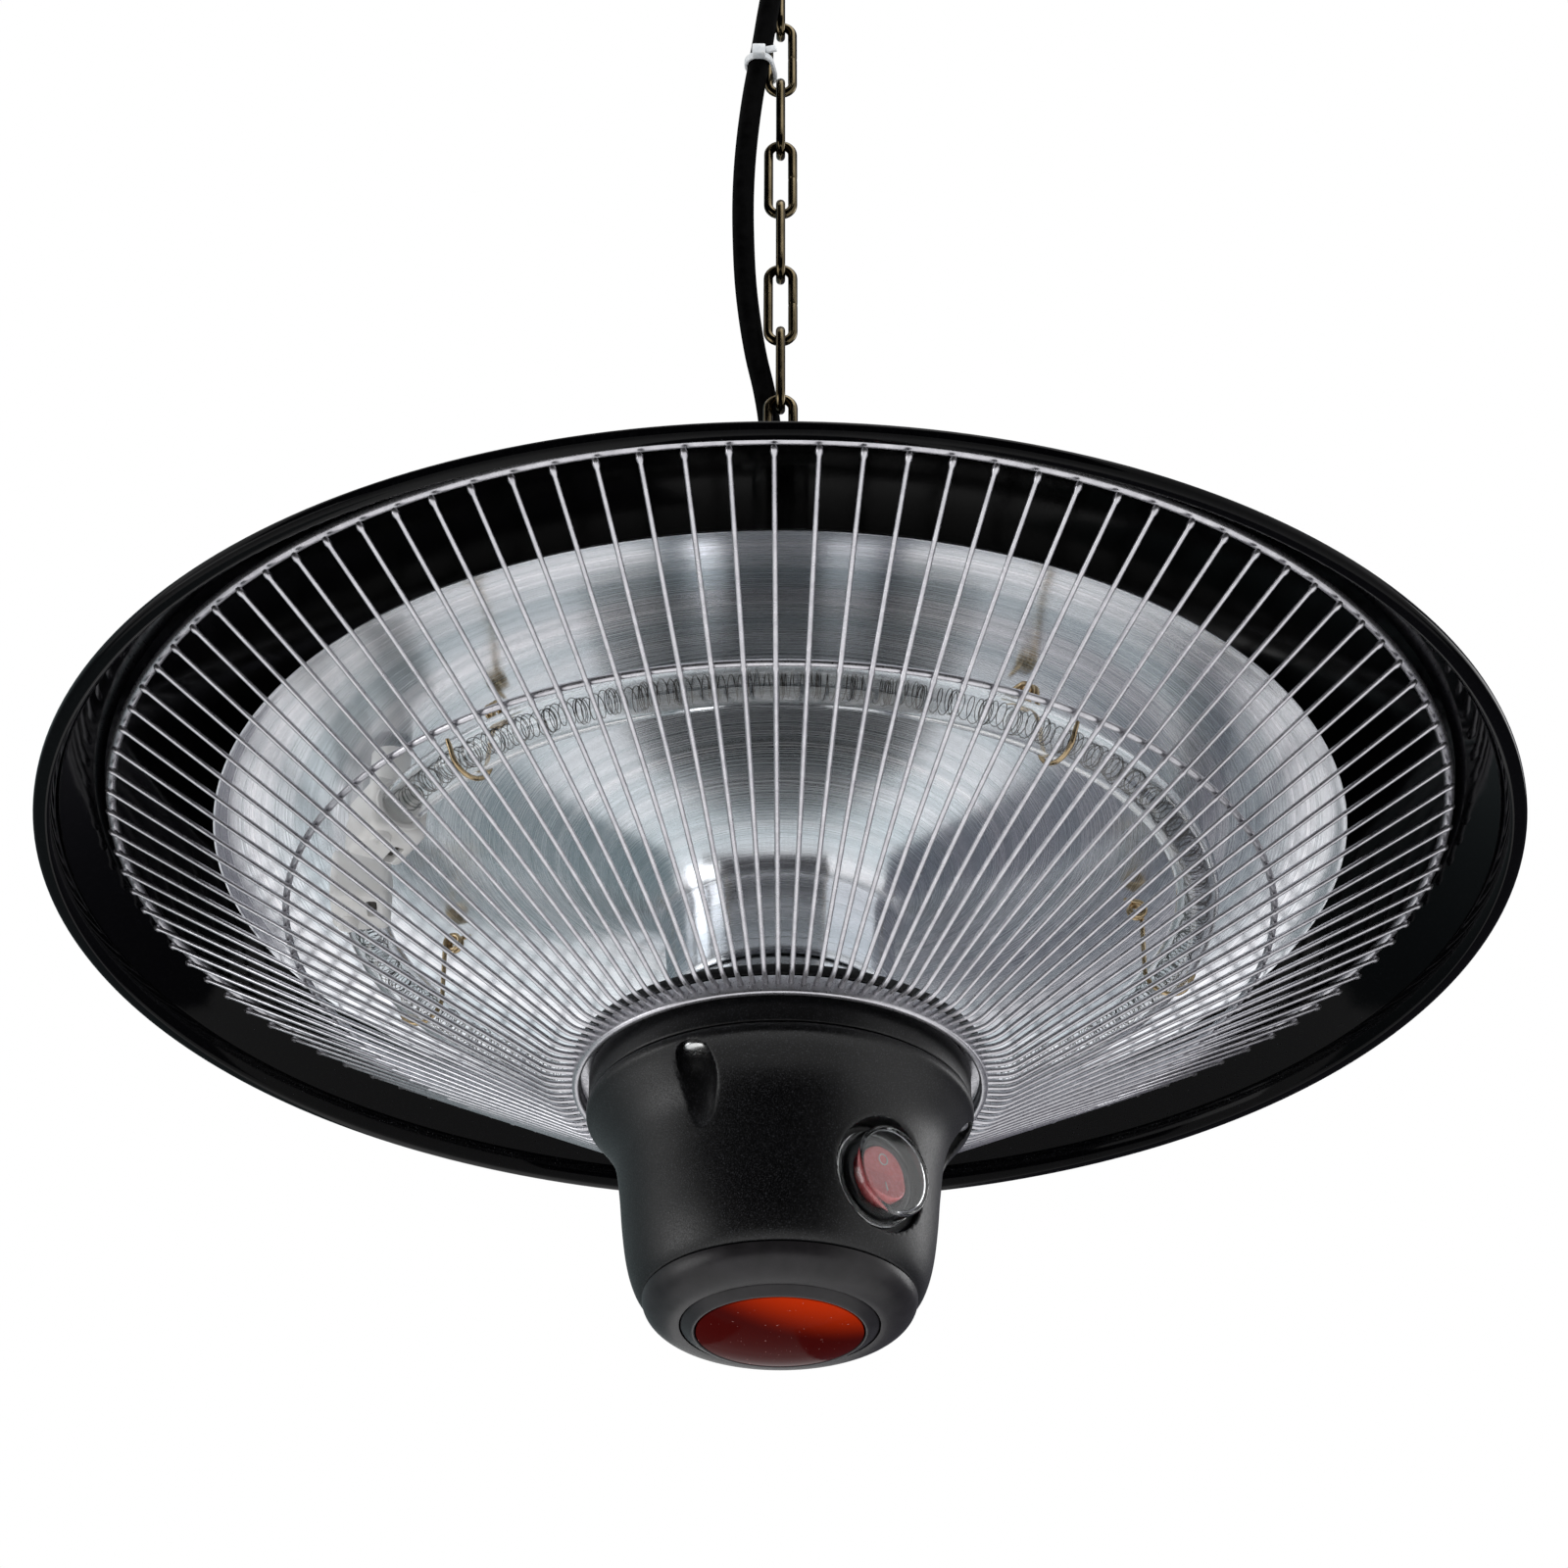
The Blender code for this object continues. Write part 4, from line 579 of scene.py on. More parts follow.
nylon = finish(
    "clear_nylon", (0.86, 0.89, 0.92), 0.3, Subsurface_Weight=0.35, Subsurface_Radius=(0.002, 0.002, 0.002),
    Subsurface_Scale=0.6, tones=(600, 4, (0.76, 0.8, 0.84), (0.92, 0.94, 0.96)), gloss=(900, 4, 0.22, 0.42),
    grain=(1500, 1, 0.3, 0.0001, (1, 1, 0.1)),
)
chain_circles = [(-0.00714, -0.00622, CORD_RADIUS), (-LINK_BEND, 0, LINK_WIRE)]
link_legs = [(-COIL_X, side * LINK_BEND, LINK_WIRE) for side in (1, -1)]
on_coil = shift(COIL_X, 0, COIL_Z)
lead_x, lead_y, lead_z = LEAD_TO_PLUG[4]
tie_turn = math.atan2(lead_z - COIL_Z, COIL_X - lead_x)
reach = math.hypot(lead_x - COIL_X, lead_z - COIL_Z)
lead_circles = [*coil_strands(tie_turn / (2 * math.pi), COIL_TURNS), (-reach, lead_y, CORD_RADIUS)]
for name, circles, tail, place, body, tie_node in (
    ("chain_tie", chain_circles, 0.0035, shift(0, 0, CHAIN_TIE_HEIGHT), "link_04", "cord_tie"),
    ("top_link_tie", coil_strands(0, COIL_TURNS + 1) + link_legs, 0.008, on_coil, "top", "coil_tie"),
    ("plug_lead_tie", lead_circles, 0.008, on_coil @ spin(tie_turn, "Y"), "top", "plug_tie"),
):
    parts = [put(part, place) for part in strap(circles, tail)]
    add_piece(name, parts, nylon, body, tie_node, slot="tie_nylon")

# The chain: eleven long links bent from 3 mm bronze-plated steel wire. Each link's ends are butted in the
# middle of one leg.
LINK_TOP = -0.0006
LINK_FOOT = -0.0221
LINK_PITCH = 0.026
FIRST_LINK = -0.0018

bronze = finish(
    "bronze_plate", (0.1, 0.08, 0.042), 0.22, 1.0, tones=(90, 4, (0.06, 0.047, 0.026), (0.12, 0.095, 0.055)),
    gloss=(300, 4, 0.12, 0.22), grain=(700, 3, 0.02, 0.0001),
)


def link_wire(upright):
    """A link's wire in the plane of X or of Y, its origin on the wire that it hangs from."""
    spots = []
    for middle, start in ((LINK_TOP, 0), (LINK_FOOT, math.pi)):
        turns = [start + math.pi * k / 16 for k in range(17)]
        spots += [(LINK_BEND * math.cos(a), middle + LINK_BEND * math.sin(a)) for a in turns]
        if start == 0:
            spots += [(-LINK_BEND, height) for height in np.linspace(LINK_TOP, LINK_FOOT, 8)[1:-1]]
    butt = (LINK_TOP + LINK_FOOT) / 2
    seam = [-0.004, -0.0012, -0.00035, -0.00012, 0.00012, 0.00035, 0.0012, 0.004]
    spots += [(LINK_BEND, butt + step) for step in seam]
    thick = [LINK_WIRE] * (len(spots) - 6) + [0.00147, 0.00122, 0.00122, 0.00147, LINK_WIRE, LINK_WIRE]
    side = (0, 1, 0) if upright == "X" else (1, 0, 0)
    line = [(x, 0, z) if upright == "X" else (0, x, z) for x, z in spots]
    return round_wire(line, thick, 20, ring=True, first_side=side)


for number in range(1, 12):
    wire = put(link_wire("Y" if number % 2 else "X"), shift(0, 0, FIRST_LINK - (number - 1) * LINK_PITCH))
    add_piece(
        f"chain_wire_{number:02d}", [wire], bronze, "top" if number == 1 else f"link_{number:02d}",
        f"chain_link_{number:02d}", slot="chain_bronze",
    )

# The hanging eye: 4.5 mm zinc-plated wire bent to a ring, screwed down through the cap, with a
# bevelled hexagon nut under it. The whole heater swings on it.
EYE_CENTRE = 0.1127
EYE_RADIUS = 0.008
EYE_WIRE = 0.00225

zinc = finish(
    "zinc_plate", (0.6, 0.61, 0.62), 0.28, 1.0, tones=(260, 5, (0.46, 0.47, 0.48), (0.7, 0.7, 0.69)),
    gloss=(700, 5, 0.18, 0.4), grain=(1600, 3, 0.12, 0.0001),
)


def hexagon(radius, bore, foot, height, steps=96):
    """A hexagon nut with bevelled corners, its foot at a height."""
    turns = [2 * math.pi * k / steps for k in range(steps)]
    flat = radius * math.cos(math.pi / 6)
    across = np.array([flat / math.cos((a % (math.pi / 3)) - math.pi / 6) for a in turns])
    bevel = (across - flat * 0.985) * 0.55
    level = np.minimum(across, flat * 0.985)
    top = foot + height
    ease = 0.0004
    rows = []
    for out, up in (
        (bore + ease, top), (level, top), (across, top - bevel), (across, foot + bevel), (level, foot),
        (bore + ease, foot), (bore, foot + ease), (bore, top - ease),
    ):
        row = np.broadcast(out, up, turns)
        rows.append([(*polar(r, a), h) for r, h, a in row])
    return skin(rows, True)


loop = [(0, 0.0866), (0, EYE_CENTRE - EYE_RADIUS)]
gap = math.atan2(0.0051, EYE_RADIUS)
loop += [
    (EYE_RADIUS * math.cos(a), EYE_CENTRE + EYE_RADIUS * math.sin(a))
    for a in np.linspace(-math.pi / 2 + 0.2, 1.5 * math.pi - gap, 44)
]
eye_line = [(x, 0, RIM + height) for x, height in eased(loop, 0.0022, 4, closed=False)]
eye_thick = [EYE_WIRE] * (len(eye_line) - 2) + [EYE_WIRE * 0.96, EYE_WIRE * 0.8]
add_piece(
    "eye_wire", [round_wire(eye_line, eye_thick, 28, first_side=(0, 1, 0))], zinc, "heater",
    "hanging_eye", slot="plated_steel",
)
ON_RIM = shift(0, 0, RIM)
add_piece(
    "eye_lock_nut", [put(hexagon(0.0065, 0.0026, 0.0988, 0.0045), ON_RIM)], zinc, "heater", "eye_nut",
    slot="plated_steel", sharp=25,
)

# The cap over the shade's middle, moulded in black plastic, and the rubber strain relief that
# carries the cord through it: a collared foot and a ribbed taper 30 mm long.
cap_plastic = finish(
    "cap_plastic", (0.006, 0.006, 0.0065), 0.42, Specular_IOR_Level=0.25, gloss=(500, 4, 0.36, 0.52),
    grain=(2600, 2, 0.3, 0.0001),
)


def add_turned(
    name, outline, steps, look, turned_node, slot, ease=0.0, closed=True, place=ON_RIM, rounds=3, sharp=40,
):
    """A piece turned about the heater's axis, or about the upright axis of another place on it."""
    part = put(turned(outline, steps, closed, ease, rounds), place)
    add_piece(name, [part], look, "heater", turned_node, slot=slot, sharp=sharp)


cap = [
    (0.00255, 0.0985), (0.0215, 0.0985), (0.0218, 0.0981), (0.0226, 0.0981), (0.0229, 0.0985),
    (0.0285, 0.0985), (0.0297, 0.0965), (0.041, 0.0835), (0.042, 0.0825), (0.042, 0.0803), (0.04, 0.0803),
    (0.028, 0.095), (0.0265, 0.0965), (0.00255, 0.0965),
]
add_turned("cap_moulding", cap, 144, cap_plastic, "top_cap", "cap_black", 0.0009)
gland = [(0, 0.1288), (0.0045, 0.1288)]
for rib in range(6):
    height = 0.1262 - rib * 0.0036
    wide = 0.0046 + rib * 0.0004
    narrow = wide - 0.0007
    gland += [(wide, height), (narrow, height - 0.0004)]
    gland += [(narrow, height - 0.0013), (wide + 0.0001, height - 0.0017)]
gland += [(0.0068, 0.1043), (0.0085, 0.1041), (0.0085, 0.0988), (0, 0.0988)]
add_turned(
    "strain_relief", gland, 64, rubber, "cord_gland", "cord_rubber", 0.0004, False,
    ON_RIM @ shift(CORD_EXIT[0], CORD_EXIT[1], 0),
)

# The shade: a shallow dome spun from 1.2 mm steel, enamelled high-gloss black in and out. Its rim
# is turned out to a flat flange and rolled over at the edge.
DOME_RADIUS = 0.2062
DOME_FOOT = 0.0045
DOME_RISE = 0.0755
SHADE_WALL = 0.0012
STACK_HOLE = 0.0073

enamel = finish(
    "black_enamel", (0.0015, 0.0015, 0.002), 0.07, Specular_IOR_Level=0.05, gloss=(45, 3, 0.05, 0.11),
    tones=(900, 2, (0.0012, 0.0012, 0.0016), (0.003, 0.003, 0.0036), 0.5, 0.8), grain=(130, 2, 0.05, 0.0002),
)


def dome(radius, rise, steps=44):
    """Points on a dome that is part of a sphere, from the hole for the stem out to its edge."""
    sphere = (radius**2 + rise**2) / (2 * rise)
    angles = np.linspace(math.asin(STACK_HOLE / sphere), math.asin(radius / sphere), steps)
    return [(sphere * math.sin(a), DOME_FOOT + rise - sphere * (1 - math.cos(a))) for a in angles]


rim = eased([
    (0.2064, 0.0041), (0.2072, 0.002), (0.2112, 0.0017), (0.21248, 0.001), (0.21248, -0.0012),
    (0.2117, -0.0018), (0.2082, -0.0018), (0.2067, 0.0003), (0.2058, 0.0022), (0.2052, 0.0042),
], 0.0009, 4)[5:-1]
shade = dome(DOME_RADIUS, DOME_RISE) + rim + dome(DOME_RADIUS - SHADE_WALL, DOME_RISE - SHADE_WALL)[::-1]
add_turned("shade_enamelled", shade, 256, enamel, "shade", "shade_black")

# The reflector: spun from 0.8 mm bright aluminium over a former, with the fine rings of the
# spinning tool all over it, and drawn down at the middle to a neck that a polished sleeve continues.
NECK_RADIUS = 0.0335
NECK_TOP = -0.017
REFLECTOR_SPAN = 0.1618 - NECK_RADIUS
REFLECTOR_RISE = 0.0102 - NECK_TOP


def rings(tree, fineness, detail):
    """Noise that runs in rings round the piece's upright axis, as spinning leaves it."""
    split = node(tree, "SeparateXYZ", {0: node(tree, "TexCoord").outputs["Object"]})
    flat = node(tree, "CombineXYZ", {"X": split.outputs["X"], "Y": split.outputs["Y"]})
    away = node(tree, "VectorMath", {0: flat.outputs[0]}, operation="LENGTH")
    parts = {0: split.outputs["Z"], 1: 0.6, 2: away.outputs["Value"]}
    slant = node(tree, "Math", parts, operation="MULTIPLY_ADD")
    values = {"W": slant.outputs[0], "Scale": fineness, "Detail": detail}
    return node(tree, "TexNoise", values, noise_dimensions="1D").outputs["Fac"]


bright = finish("spun_aluminium", (0.78, 0.8, 0.82), 0.3, 1.0, Anisotropic=0.8, Anisotropic_Rotation=0.25)
tree = bright.node_tree
surface = tree.nodes["Principled BSDF"]
tangent = node(tree, "Tangent", direction_type="RADIAL", axis="Z")
tree.links.new(tangent.outputs[0], surface.inputs["Tangent"])
tree.links.new(between(tree, rings(tree, 2600, 3), 0.14, 0.28, 0.35, 0.65), surface.inputs["Roughness"])
fine = between(tree, rings(tree, 330, 5), (0.74, 0.77, 0.79), (0.92, 0.93, 0.95))
broad = between(tree, rings(tree, 42, 2), (0.68, 0.74, 0.77), (0.97, 0.96, 0.98), 0.38, 0.6)
tone = node(tree, "Mix", {"Factor": 1.0, "A": fine, "B": broad}, data_type="RGBA", blend_type="MULTIPLY")
tree.links.new(tone.outputs["Result"], surface.inputs["Base Color"])
relief(tree, surface, rings(tree, 1300, 4), 0.07, 0.0002)

under = [(0.1618, 0.0045), (0.159, 0.006)]
under += [(NECK_RADIUS + REFLECTOR_SPAN * out, NECK_TOP + REFLECTOR_RISE * up) for out, up in (
    (0.88, 0.94), (0.68, 1.0), (0.42, 0.93), (0.2, 0.68), (0.06, 0.31),
)]
under += [(NECK_RADIUS + 0.0004, NECK_TOP), (0.0326, -0.027), (0.0315, -0.0428)]
under = smooth_line(under, 0.0016)
ahead = np.gradient(under, axis=0)
ahead /= np.linalg.norm(ahead, axis=1)[:, None]
over = under + 0.0008 * np.stack([ahead[:, 1], -ahead[:, 0]], axis=1)
section = [
    (STACK_HOLE, -0.0427), *map(tuple, over[::-1]), (0.1622, 0.0049), (0.1625, 0.0044), *map(tuple, under),
    (0.0312, -0.0435), (STACK_HOLE, -0.0435),
]
add_turned("reflector_spinning", section, 256, bright, "reflector", "spun_aluminium")

polished = finish("polished_sleeve", (0.86, 0.87, 0.89), 0.14, 1.0, grain=(160, 3, 0.1, 0.0002, (1, 1, 5)))
tree = polished.node_tree
sheen = between(tree, rings(tree, 900, 4), 0.1, 0.24)
tree.links.new(sheen, tree.nodes["Principled BSDF"].inputs["Roughness"])
sleeve = [(0.03, -0.0438), (0.03, -0.0618), (0.0285, -0.0618), (0.0285, -0.0438)]
add_turned("sleeve_tube", sleeve, 160, polished, "neck_sleeve", "spun_aluminium", 0.0004)

# The ring lamp: a clear quartz tube bent to an open ring round a curled heating wire, which is
# wound in short bunches. Its ends sit in white ceramic holders that stand down from the reflector,
# and a slot in each holder shows a dark steel contact.
LAMP_RING = 0.119
LAMP_HEIGHT = -0.0135
LAMP_TUBE = 0.0062
LAMP_WALL = 0.0011
LAMP_FIRST = math.radians(210)
LAMP_LAST = math.radians(542)
BUNCH = 0.0092
CURLS_IN_BUNCH = 6
STEPS_IN_CURL = 14


def ring_line(first, last, count, radius, height):
    """Points on a level arc about the heater's axis."""
    turns = np.linspace(first, last, count)
    return [(*polar(radius, a), RIM + height) for a in turns]


def hollow_wire(line, outer, inner, sides):
    """A tube with a wall and open ends along a line."""
    skin_out, faces_out = round_wire(line, outer, sides, first_side=(0, 0, 1))
    skin_in, faces_in = round_wire(line, inner, sides, first_side=(0, 0, 1))
    shift = len(skin_out)
    faces = faces_out[:-2] + [tuple(shift + c for c in face[::-1]) for face in faces_in[:-2]]
    last = shift - sides
    for k in range(sides):
        after = (k + 1) % sides
        faces.append((k, shift + k, shift + after, after))
        faces.append((last + k, last + after, shift + last + after, shift + last + k))
    return skin_out + skin_in, faces


quartz = finish(
    "clear_quartz", (0.97, 0.98, 0.98), 0.03, Transmission_Weight=1.0, IOR=1.46, gloss=(160, 2, 0.02, 0.09),
    grain=(240, 2, 0.06, 0.0002),
)
tube = ring_line(LAMP_FIRST, LAMP_LAST, 300, LAMP_RING, LAMP_HEIGHT)
tube = hollow_wire(tube, LAMP_TUBE, LAMP_TUBE - LAMP_WALL, 32)
add_piece("quartz_ring", [tube], quartz, "heater", "lamp_tube", slot="quartz_glass")

resistance = finish(
    "resistance_wire", (0.07, 0.065, 0.06), 0.4, 1.0, tones=(500, 4, (0.03, 0.028, 0.026), (0.12, 0.11, 0.1)),
    gloss=(800, 2, 0.3, 0.55),
)
length = LAMP_RING * (LAMP_LAST - LAMP_FIRST) - 0.004
bunches = round(length / BUNCH)
curl_steps = bunches * CURLS_IN_BUNCH * STEPS_IN_CURL
curls = []
for step in range(curl_steps + 1):
    share = step / curl_steps
    along = share + 0.8 * math.sin(2 * math.pi * share * bunches) / (2 * math.pi * bunches)
    angle = LAMP_FIRST + (0.002 + length * along) / LAMP_RING
    wind = 2 * math.pi * CURLS_IN_BUNCH * bunches * share
    wide = 0.0034 + 0.0004 * math.sin(5.3 * wind / CURLS_IN_BUNCH)
    wide += 0.0002 * math.sin(2.1 * wind / CURLS_IN_BUNCH + 1)
    away = LAMP_RING + wide * math.cos(wind)
    curls.append((*polar(away, angle), RIM + LAMP_HEIGHT + wide * math.sin(wind)))
add_piece(
    "heating_curls", [round_wire(curls, 0.00013, 5)], resistance, "heater", "heating_coil",
    slot="heating_wire", sharp=80,
)


def from_boolean(solid, cutters, voxel=None, smooth=0):
    """The first solid with the others cut out of it. A voxel size rounds its edges as moulding does."""
    made = [new_shape("blank", points, faces) for points, faces in (solid, *cutters)]
    for cutter in made[1:]:
        cut = made[0].modifiers.new("cut", "BOOLEAN")
        cut.operation = "DIFFERENCE"
        cut.solver = "EXACT"
        cut.object = cutter
    if voxel:
        even = made[0].modifiers.new("even", "REMESH")
        even.mode = "VOXEL"
        even.voxel_size = voxel
        soft = made[0].modifiers.new("soft", "SMOOTH")
        soft.factor = 0.5
        soft.iterations = smooth
    bpy.context.view_layer.update()
    shaped = made[0].evaluated_get(bpy.context.evaluated_depsgraph_get()).to_mesh()
    part = [tuple(v.co) for v in shaped.vertices], [tuple(f.vertices) for f in shaped.polygons]
    for old in made:
        bpy.data.objects.remove(old)
    return part


def rod(radius, foot, top, steps=64):
    """A plain upright round bar, used to cut holes."""
    return turned([(0, top), (radius, top), (radius, foot), (0, foot)], steps, False)


ceramic = finish(
    "white_ceramic", (0.9, 0.885, 0.86), 0.42, Subsurface_Weight=0.2, Subsurface_Radius=(0.003, 0.003, 0.003),
    Subsurface_Scale=0.5, tones=(180, 5, (0.9, 0.885, 0.86), (0.96, 0.955, 0.945)),
    gloss=(700, 3, 0.35, 0.55), grain=(1100, 3, 0.3, 0.0002),
)
contact_steel = finish(
    "scaled_contact", (0.05, 0.045, 0.04), 0.5, 0.8, tones=(700, 4, (0.02, 0.018, 0.017), (0.09, 0.08, 0.07)),
)
block = soft_block((0.0165, 0.0188, 0.0165), 0.0022, 4)
collar = turned([(0, 0.0006), (0.0076, 0.0006), (0.0076, -0.002), (0, -0.002)], 48, False, 0.0004)
post = turned([(0, 0.0213), (0.0052, 0.0213), (0.0055, 0.0209), (0.0055, 0.006), (0, 0.006)], 40, False)
boss = [(0, -0.008), (0.0031, -0.008), (0.0028, -0.0102), (0.0012, -0.0102), (0.001, -0.0096), (0, -0.0096)]
boss = turned(boss, 32, False, 0.0004)
for name, angle, side in (("near", LAMP_FIRST, -1), ("far", LAMP_LAST, 1)):
    place = ON_RIM @ spin(angle, "Z") @ shift(LAMP_RING, side * 0.0098, LAMP_HEIGHT)
    on_tube = place @ shift(0, -side * 0.0094, 0) @ spin(side * math.pi / 2, "X")
    in_slot = place @ shift(-0.0036, side * 0.003, -0.0075)
    on_contact = place @ shift(-0.0036, side * 0.003, -0.004)
    parts = [
        from_boolean(put(block, place), [put(soft_block((0.003, 0.0086, 0.01), 0.0008, 3), in_slot)]),
        put(collar, on_tube), put(post, place), put(boss, place @ shift(0.0036, -side * 0.0044, 0)),
    ]
    contact = put(soft_block((0.0022, 0.007, 0.005), 0.0003, 2), on_contact)
    add_piece(f"lamp_contact_{name}", [contact], contact_steel, "heater", slot="plated_steel")
    add_piece(f"ceramic_holder_{name}", parts, ceramic, "heater", f"lamp_holder_{name}", slot="lamp_ceramic")

# Four clips of bronze spring wire carry the lamp. Each is wound twice round at its foot, which is
# fixed to the reflector, and ends in an open hook that the tube snaps into.
CLIP_WIRE = 0.0007
CLIP_HOOK = 0.0072
CLIP_CURL = 0.0022
CLIP_TURNS = 2.25
CLIP_TOP = 0.0071
CLIP_ASIDE = 0.0017

spring = finish(
    "bronze_spring_wire", (0.36, 0.25, 0.12), 0.3, 1.0, tones=(350, 5, (0.34, 0.25, 0.14), (0.62, 0.48, 0.3)),
    gloss=(800, 3, 0.2, 0.42),
)
clip_leg = LAMP_RING - CLIP_HOOK
curl_x = clip_leg - CLIP_CURL
curl_z = CLIP_TOP - CLIP_CURL
clip = [(curl_x - 0.0045, -CLIP_ASIDE, CLIP_TOP + 0.0002), (curl_x - 0.0015, -CLIP_ASIDE, CLIP_TOP)]
wound = 2 * math.pi * CLIP_TURNS
for a in np.linspace(0, wound, 60):
    across = -CLIP_ASIDE + 2 * CLIP_ASIDE * a / wound
    clip.append((curl_x + CLIP_CURL * math.sin(a), across, curl_z + CLIP_CURL * math.cos(a)))
clip += [(clip_leg, CLIP_ASIDE, height) for height in np.linspace(curl_z - 0.002, LAMP_HEIGHT + 0.001, 6)]
clip += [
    (LAMP_RING + CLIP_HOOK * math.cos(a), CLIP_ASIDE, LAMP_HEIGHT + CLIP_HOOK * math.sin(a))
    for a in np.linspace(math.pi, math.radians(345), 26)
]
tip = clip[-1]
clip += [(tip[0] + 0.0006, CLIP_ASIDE, tip[2] + 0.0011), (tip[0] + 0.0015, CLIP_ASIDE, tip[2] + 0.0027)]
thick = [CLIP_WIRE * 0.7] + [CLIP_WIRE] * (len(clip) - 2) + [CLIP_WIRE * 0.7]
clip_wire = round_wire(clip, thick, 12, first_side=(0, 1, 0))
for number, angle in enumerate((225.2, 307.4, 16.0, 153.1), start=1):
    add_piece(
        f"lamp_spring_{number}", [put(clip_wire, ON_RIM @ spin(math.radians(angle), "Z"))], spring,
        "heater", f"lamp_clip_{number}", slot="clip_wire",
    )

# The guard: 108 radial wires welded to a pressed steel hub, each bent once near it. Two rings lie
# on the wires and are welded at every crossing. All of it is lacquered silver.
GUARD_TURN = math.radians(1.27)
GUARD_WIRES = 108
HUB_RADIUS = 0.0579
RING_RADIUS = 0.1918
RING_HEIGHT = 0.0112
RING_WIRE = 0.0015
MIDDLE_RADIUS = 0.1402
MIDDLE_WIRE = 0.001
RING_STEPS = 324
WIRE_RADIUS = 0.0007
WIRE_LEVEL = -0.0678
WIRE_BEND = 0.0645
WIRE_SLOPE = (RING_HEIGHT - RING_WIRE - WIRE_RADIUS - 0.0012 - WIRE_LEVEL) / (RING_RADIUS - WIRE_BEND)

lacquer = finish(
    "silver_lacquer", (0.5, 0.495, 0.525), 0.26, 0.9, gloss=(1500, 3, 0.24, 0.4),
    tones=(300, 4, (0.44, 0.435, 0.465), (0.57, 0.565, 0.595)), grain=(1900, 3, 0.15, 0.0001),
)


def on_slope(radius):
    """A point in the middle of a guard wire on its straight outer stretch."""
    return radius, WIRE_LEVEL + WIRE_SLOPE * (radius - WIRE_BEND)


reach = RING_RADIUS + 0.0012
run = [(HUB_RADIUS - 0.0008, WIRE_LEVEL), (WIRE_BEND, WIRE_LEVEL), on_slope(reach)]
run = eased(run, 0.0028, 6, closed=False)
end = run.pop()
thick = [0.00085, *[WIRE_RADIUS] * (len(run) - 1)]
for radius, wide in (
    (0.1391, WIRE_RADIUS), (0.1399, 0.00088), (0.1405, 0.00088), (0.1413, WIRE_RADIUS), (0.1904, WIRE_RADIUS),
    (0.1914, 0.00105), (0.1922, 0.00095), (reach - 0.0003, WIRE_RADIUS),
):
    run.append(on_slope(radius))
    thick.append(wide)
run.append(end)
thick.append(0.0004)
spoke = round_wire([(r, 0, h) for r, h in run], thick, 10, first_side=(0, 1, 0))
spokes = [
    put(spoke, ON_RIM @ spin(GUARD_TURN + (number + 0.5) * 2 * math.pi / GUARD_WIRES, "Z"))
    for number in range(GUARD_WIRES)
]
hub = [
    (STACK_HOLE, -0.0655), (HUB_RADIUS, -0.0655), (HUB_RADIUS, -0.0705), (0.0573, -0.0709), (0.056, -0.0709),
    (0.0556, -0.07), (0.0559, -0.0671), (STACK_HOLE, -0.0671),
]
add_piece(
    "guard_wires_and_hub", [*spokes, put(turned(hub, 216, True, 0.0006, 4), ON_RIM)], lacquer, "heater",
    "guard_grille", slot="guard_silver",
)


def add_ring(name, ring_node, radius, height, wire, sides):
    """A welded ring of round wire about the heater's axis."""
    line = ring_line(0, 2 * math.pi * (1 - 1 / RING_STEPS), RING_STEPS, radius, height)
    ring = round_wire(line, wire, sides, True, (0, 0, 1))
    add_piece(name, [ring], lacquer, "heater", ring_node, slot="guard_silver")


add_ring("guard_rim_ring", "guard_outer_ring", RING_RADIUS, RING_HEIGHT, RING_WIRE, 16)
middle_height = on_slope(MIDDLE_RADIUS)[1] + 0.0018 * math.hypot(1, WIRE_SLOPE)
add_ring("guard_inner_ring", "guard_middle_ring", MIDDLE_RADIUS, middle_height, MIDDLE_WIRE, 12)

# The housing hangs under the hub: a black insulating strip, a collar, and a bell-shaped moulding
# with a soft grain, in which a round pocket takes the switch and three slots take the screws.
SWITCH_TURN = math.radians(-48)
SWITCH_HEIGHT = -0.1115
SCREW_CIRCLE = 0.0485
SCREW_TURNS = [math.radians(242.7 + 120 * number) for number in range(3)]
BELL_RADIUS = 0.0538
BELL_FOOT_RADIUS = 0.0378
BELL_TOP = -0.0771
BELL_FOOT = -0.1334

housing = finish(
    "grained_black_plastic", (0.003, 0.003, 0.0035), 0.38, Specular_IOR_Level=0.35,
    tones=(2600, 1, (0.002, 0.002, 0.0025), (0.026, 0.027, 0.031), 0.55, 0.75),
    gloss=(2300, 3, 0.32, 0.5, 0.35, 0.65), grain=(2300, 3, 0.35, 0.0001),
)
plate = [(STACK_HOLE, -0.0621), (HUB_RADIUS, -0.0621), (HUB_RADIUS, -0.0652), (STACK_HOLE, -0.0652)]
add_turned("insulating_strip", plate, 192, housing, "insulating_plate", "housing_plastic", 0.0005)
collar = [(0.0532, -0.0674), (0.0532, -0.0768), (0.0385, -0.0768), (0.0385, -0.0674)]
add_turned("collar_moulding", collar, 192, housing, "housing_collar", "housing_plastic", 0.0007)

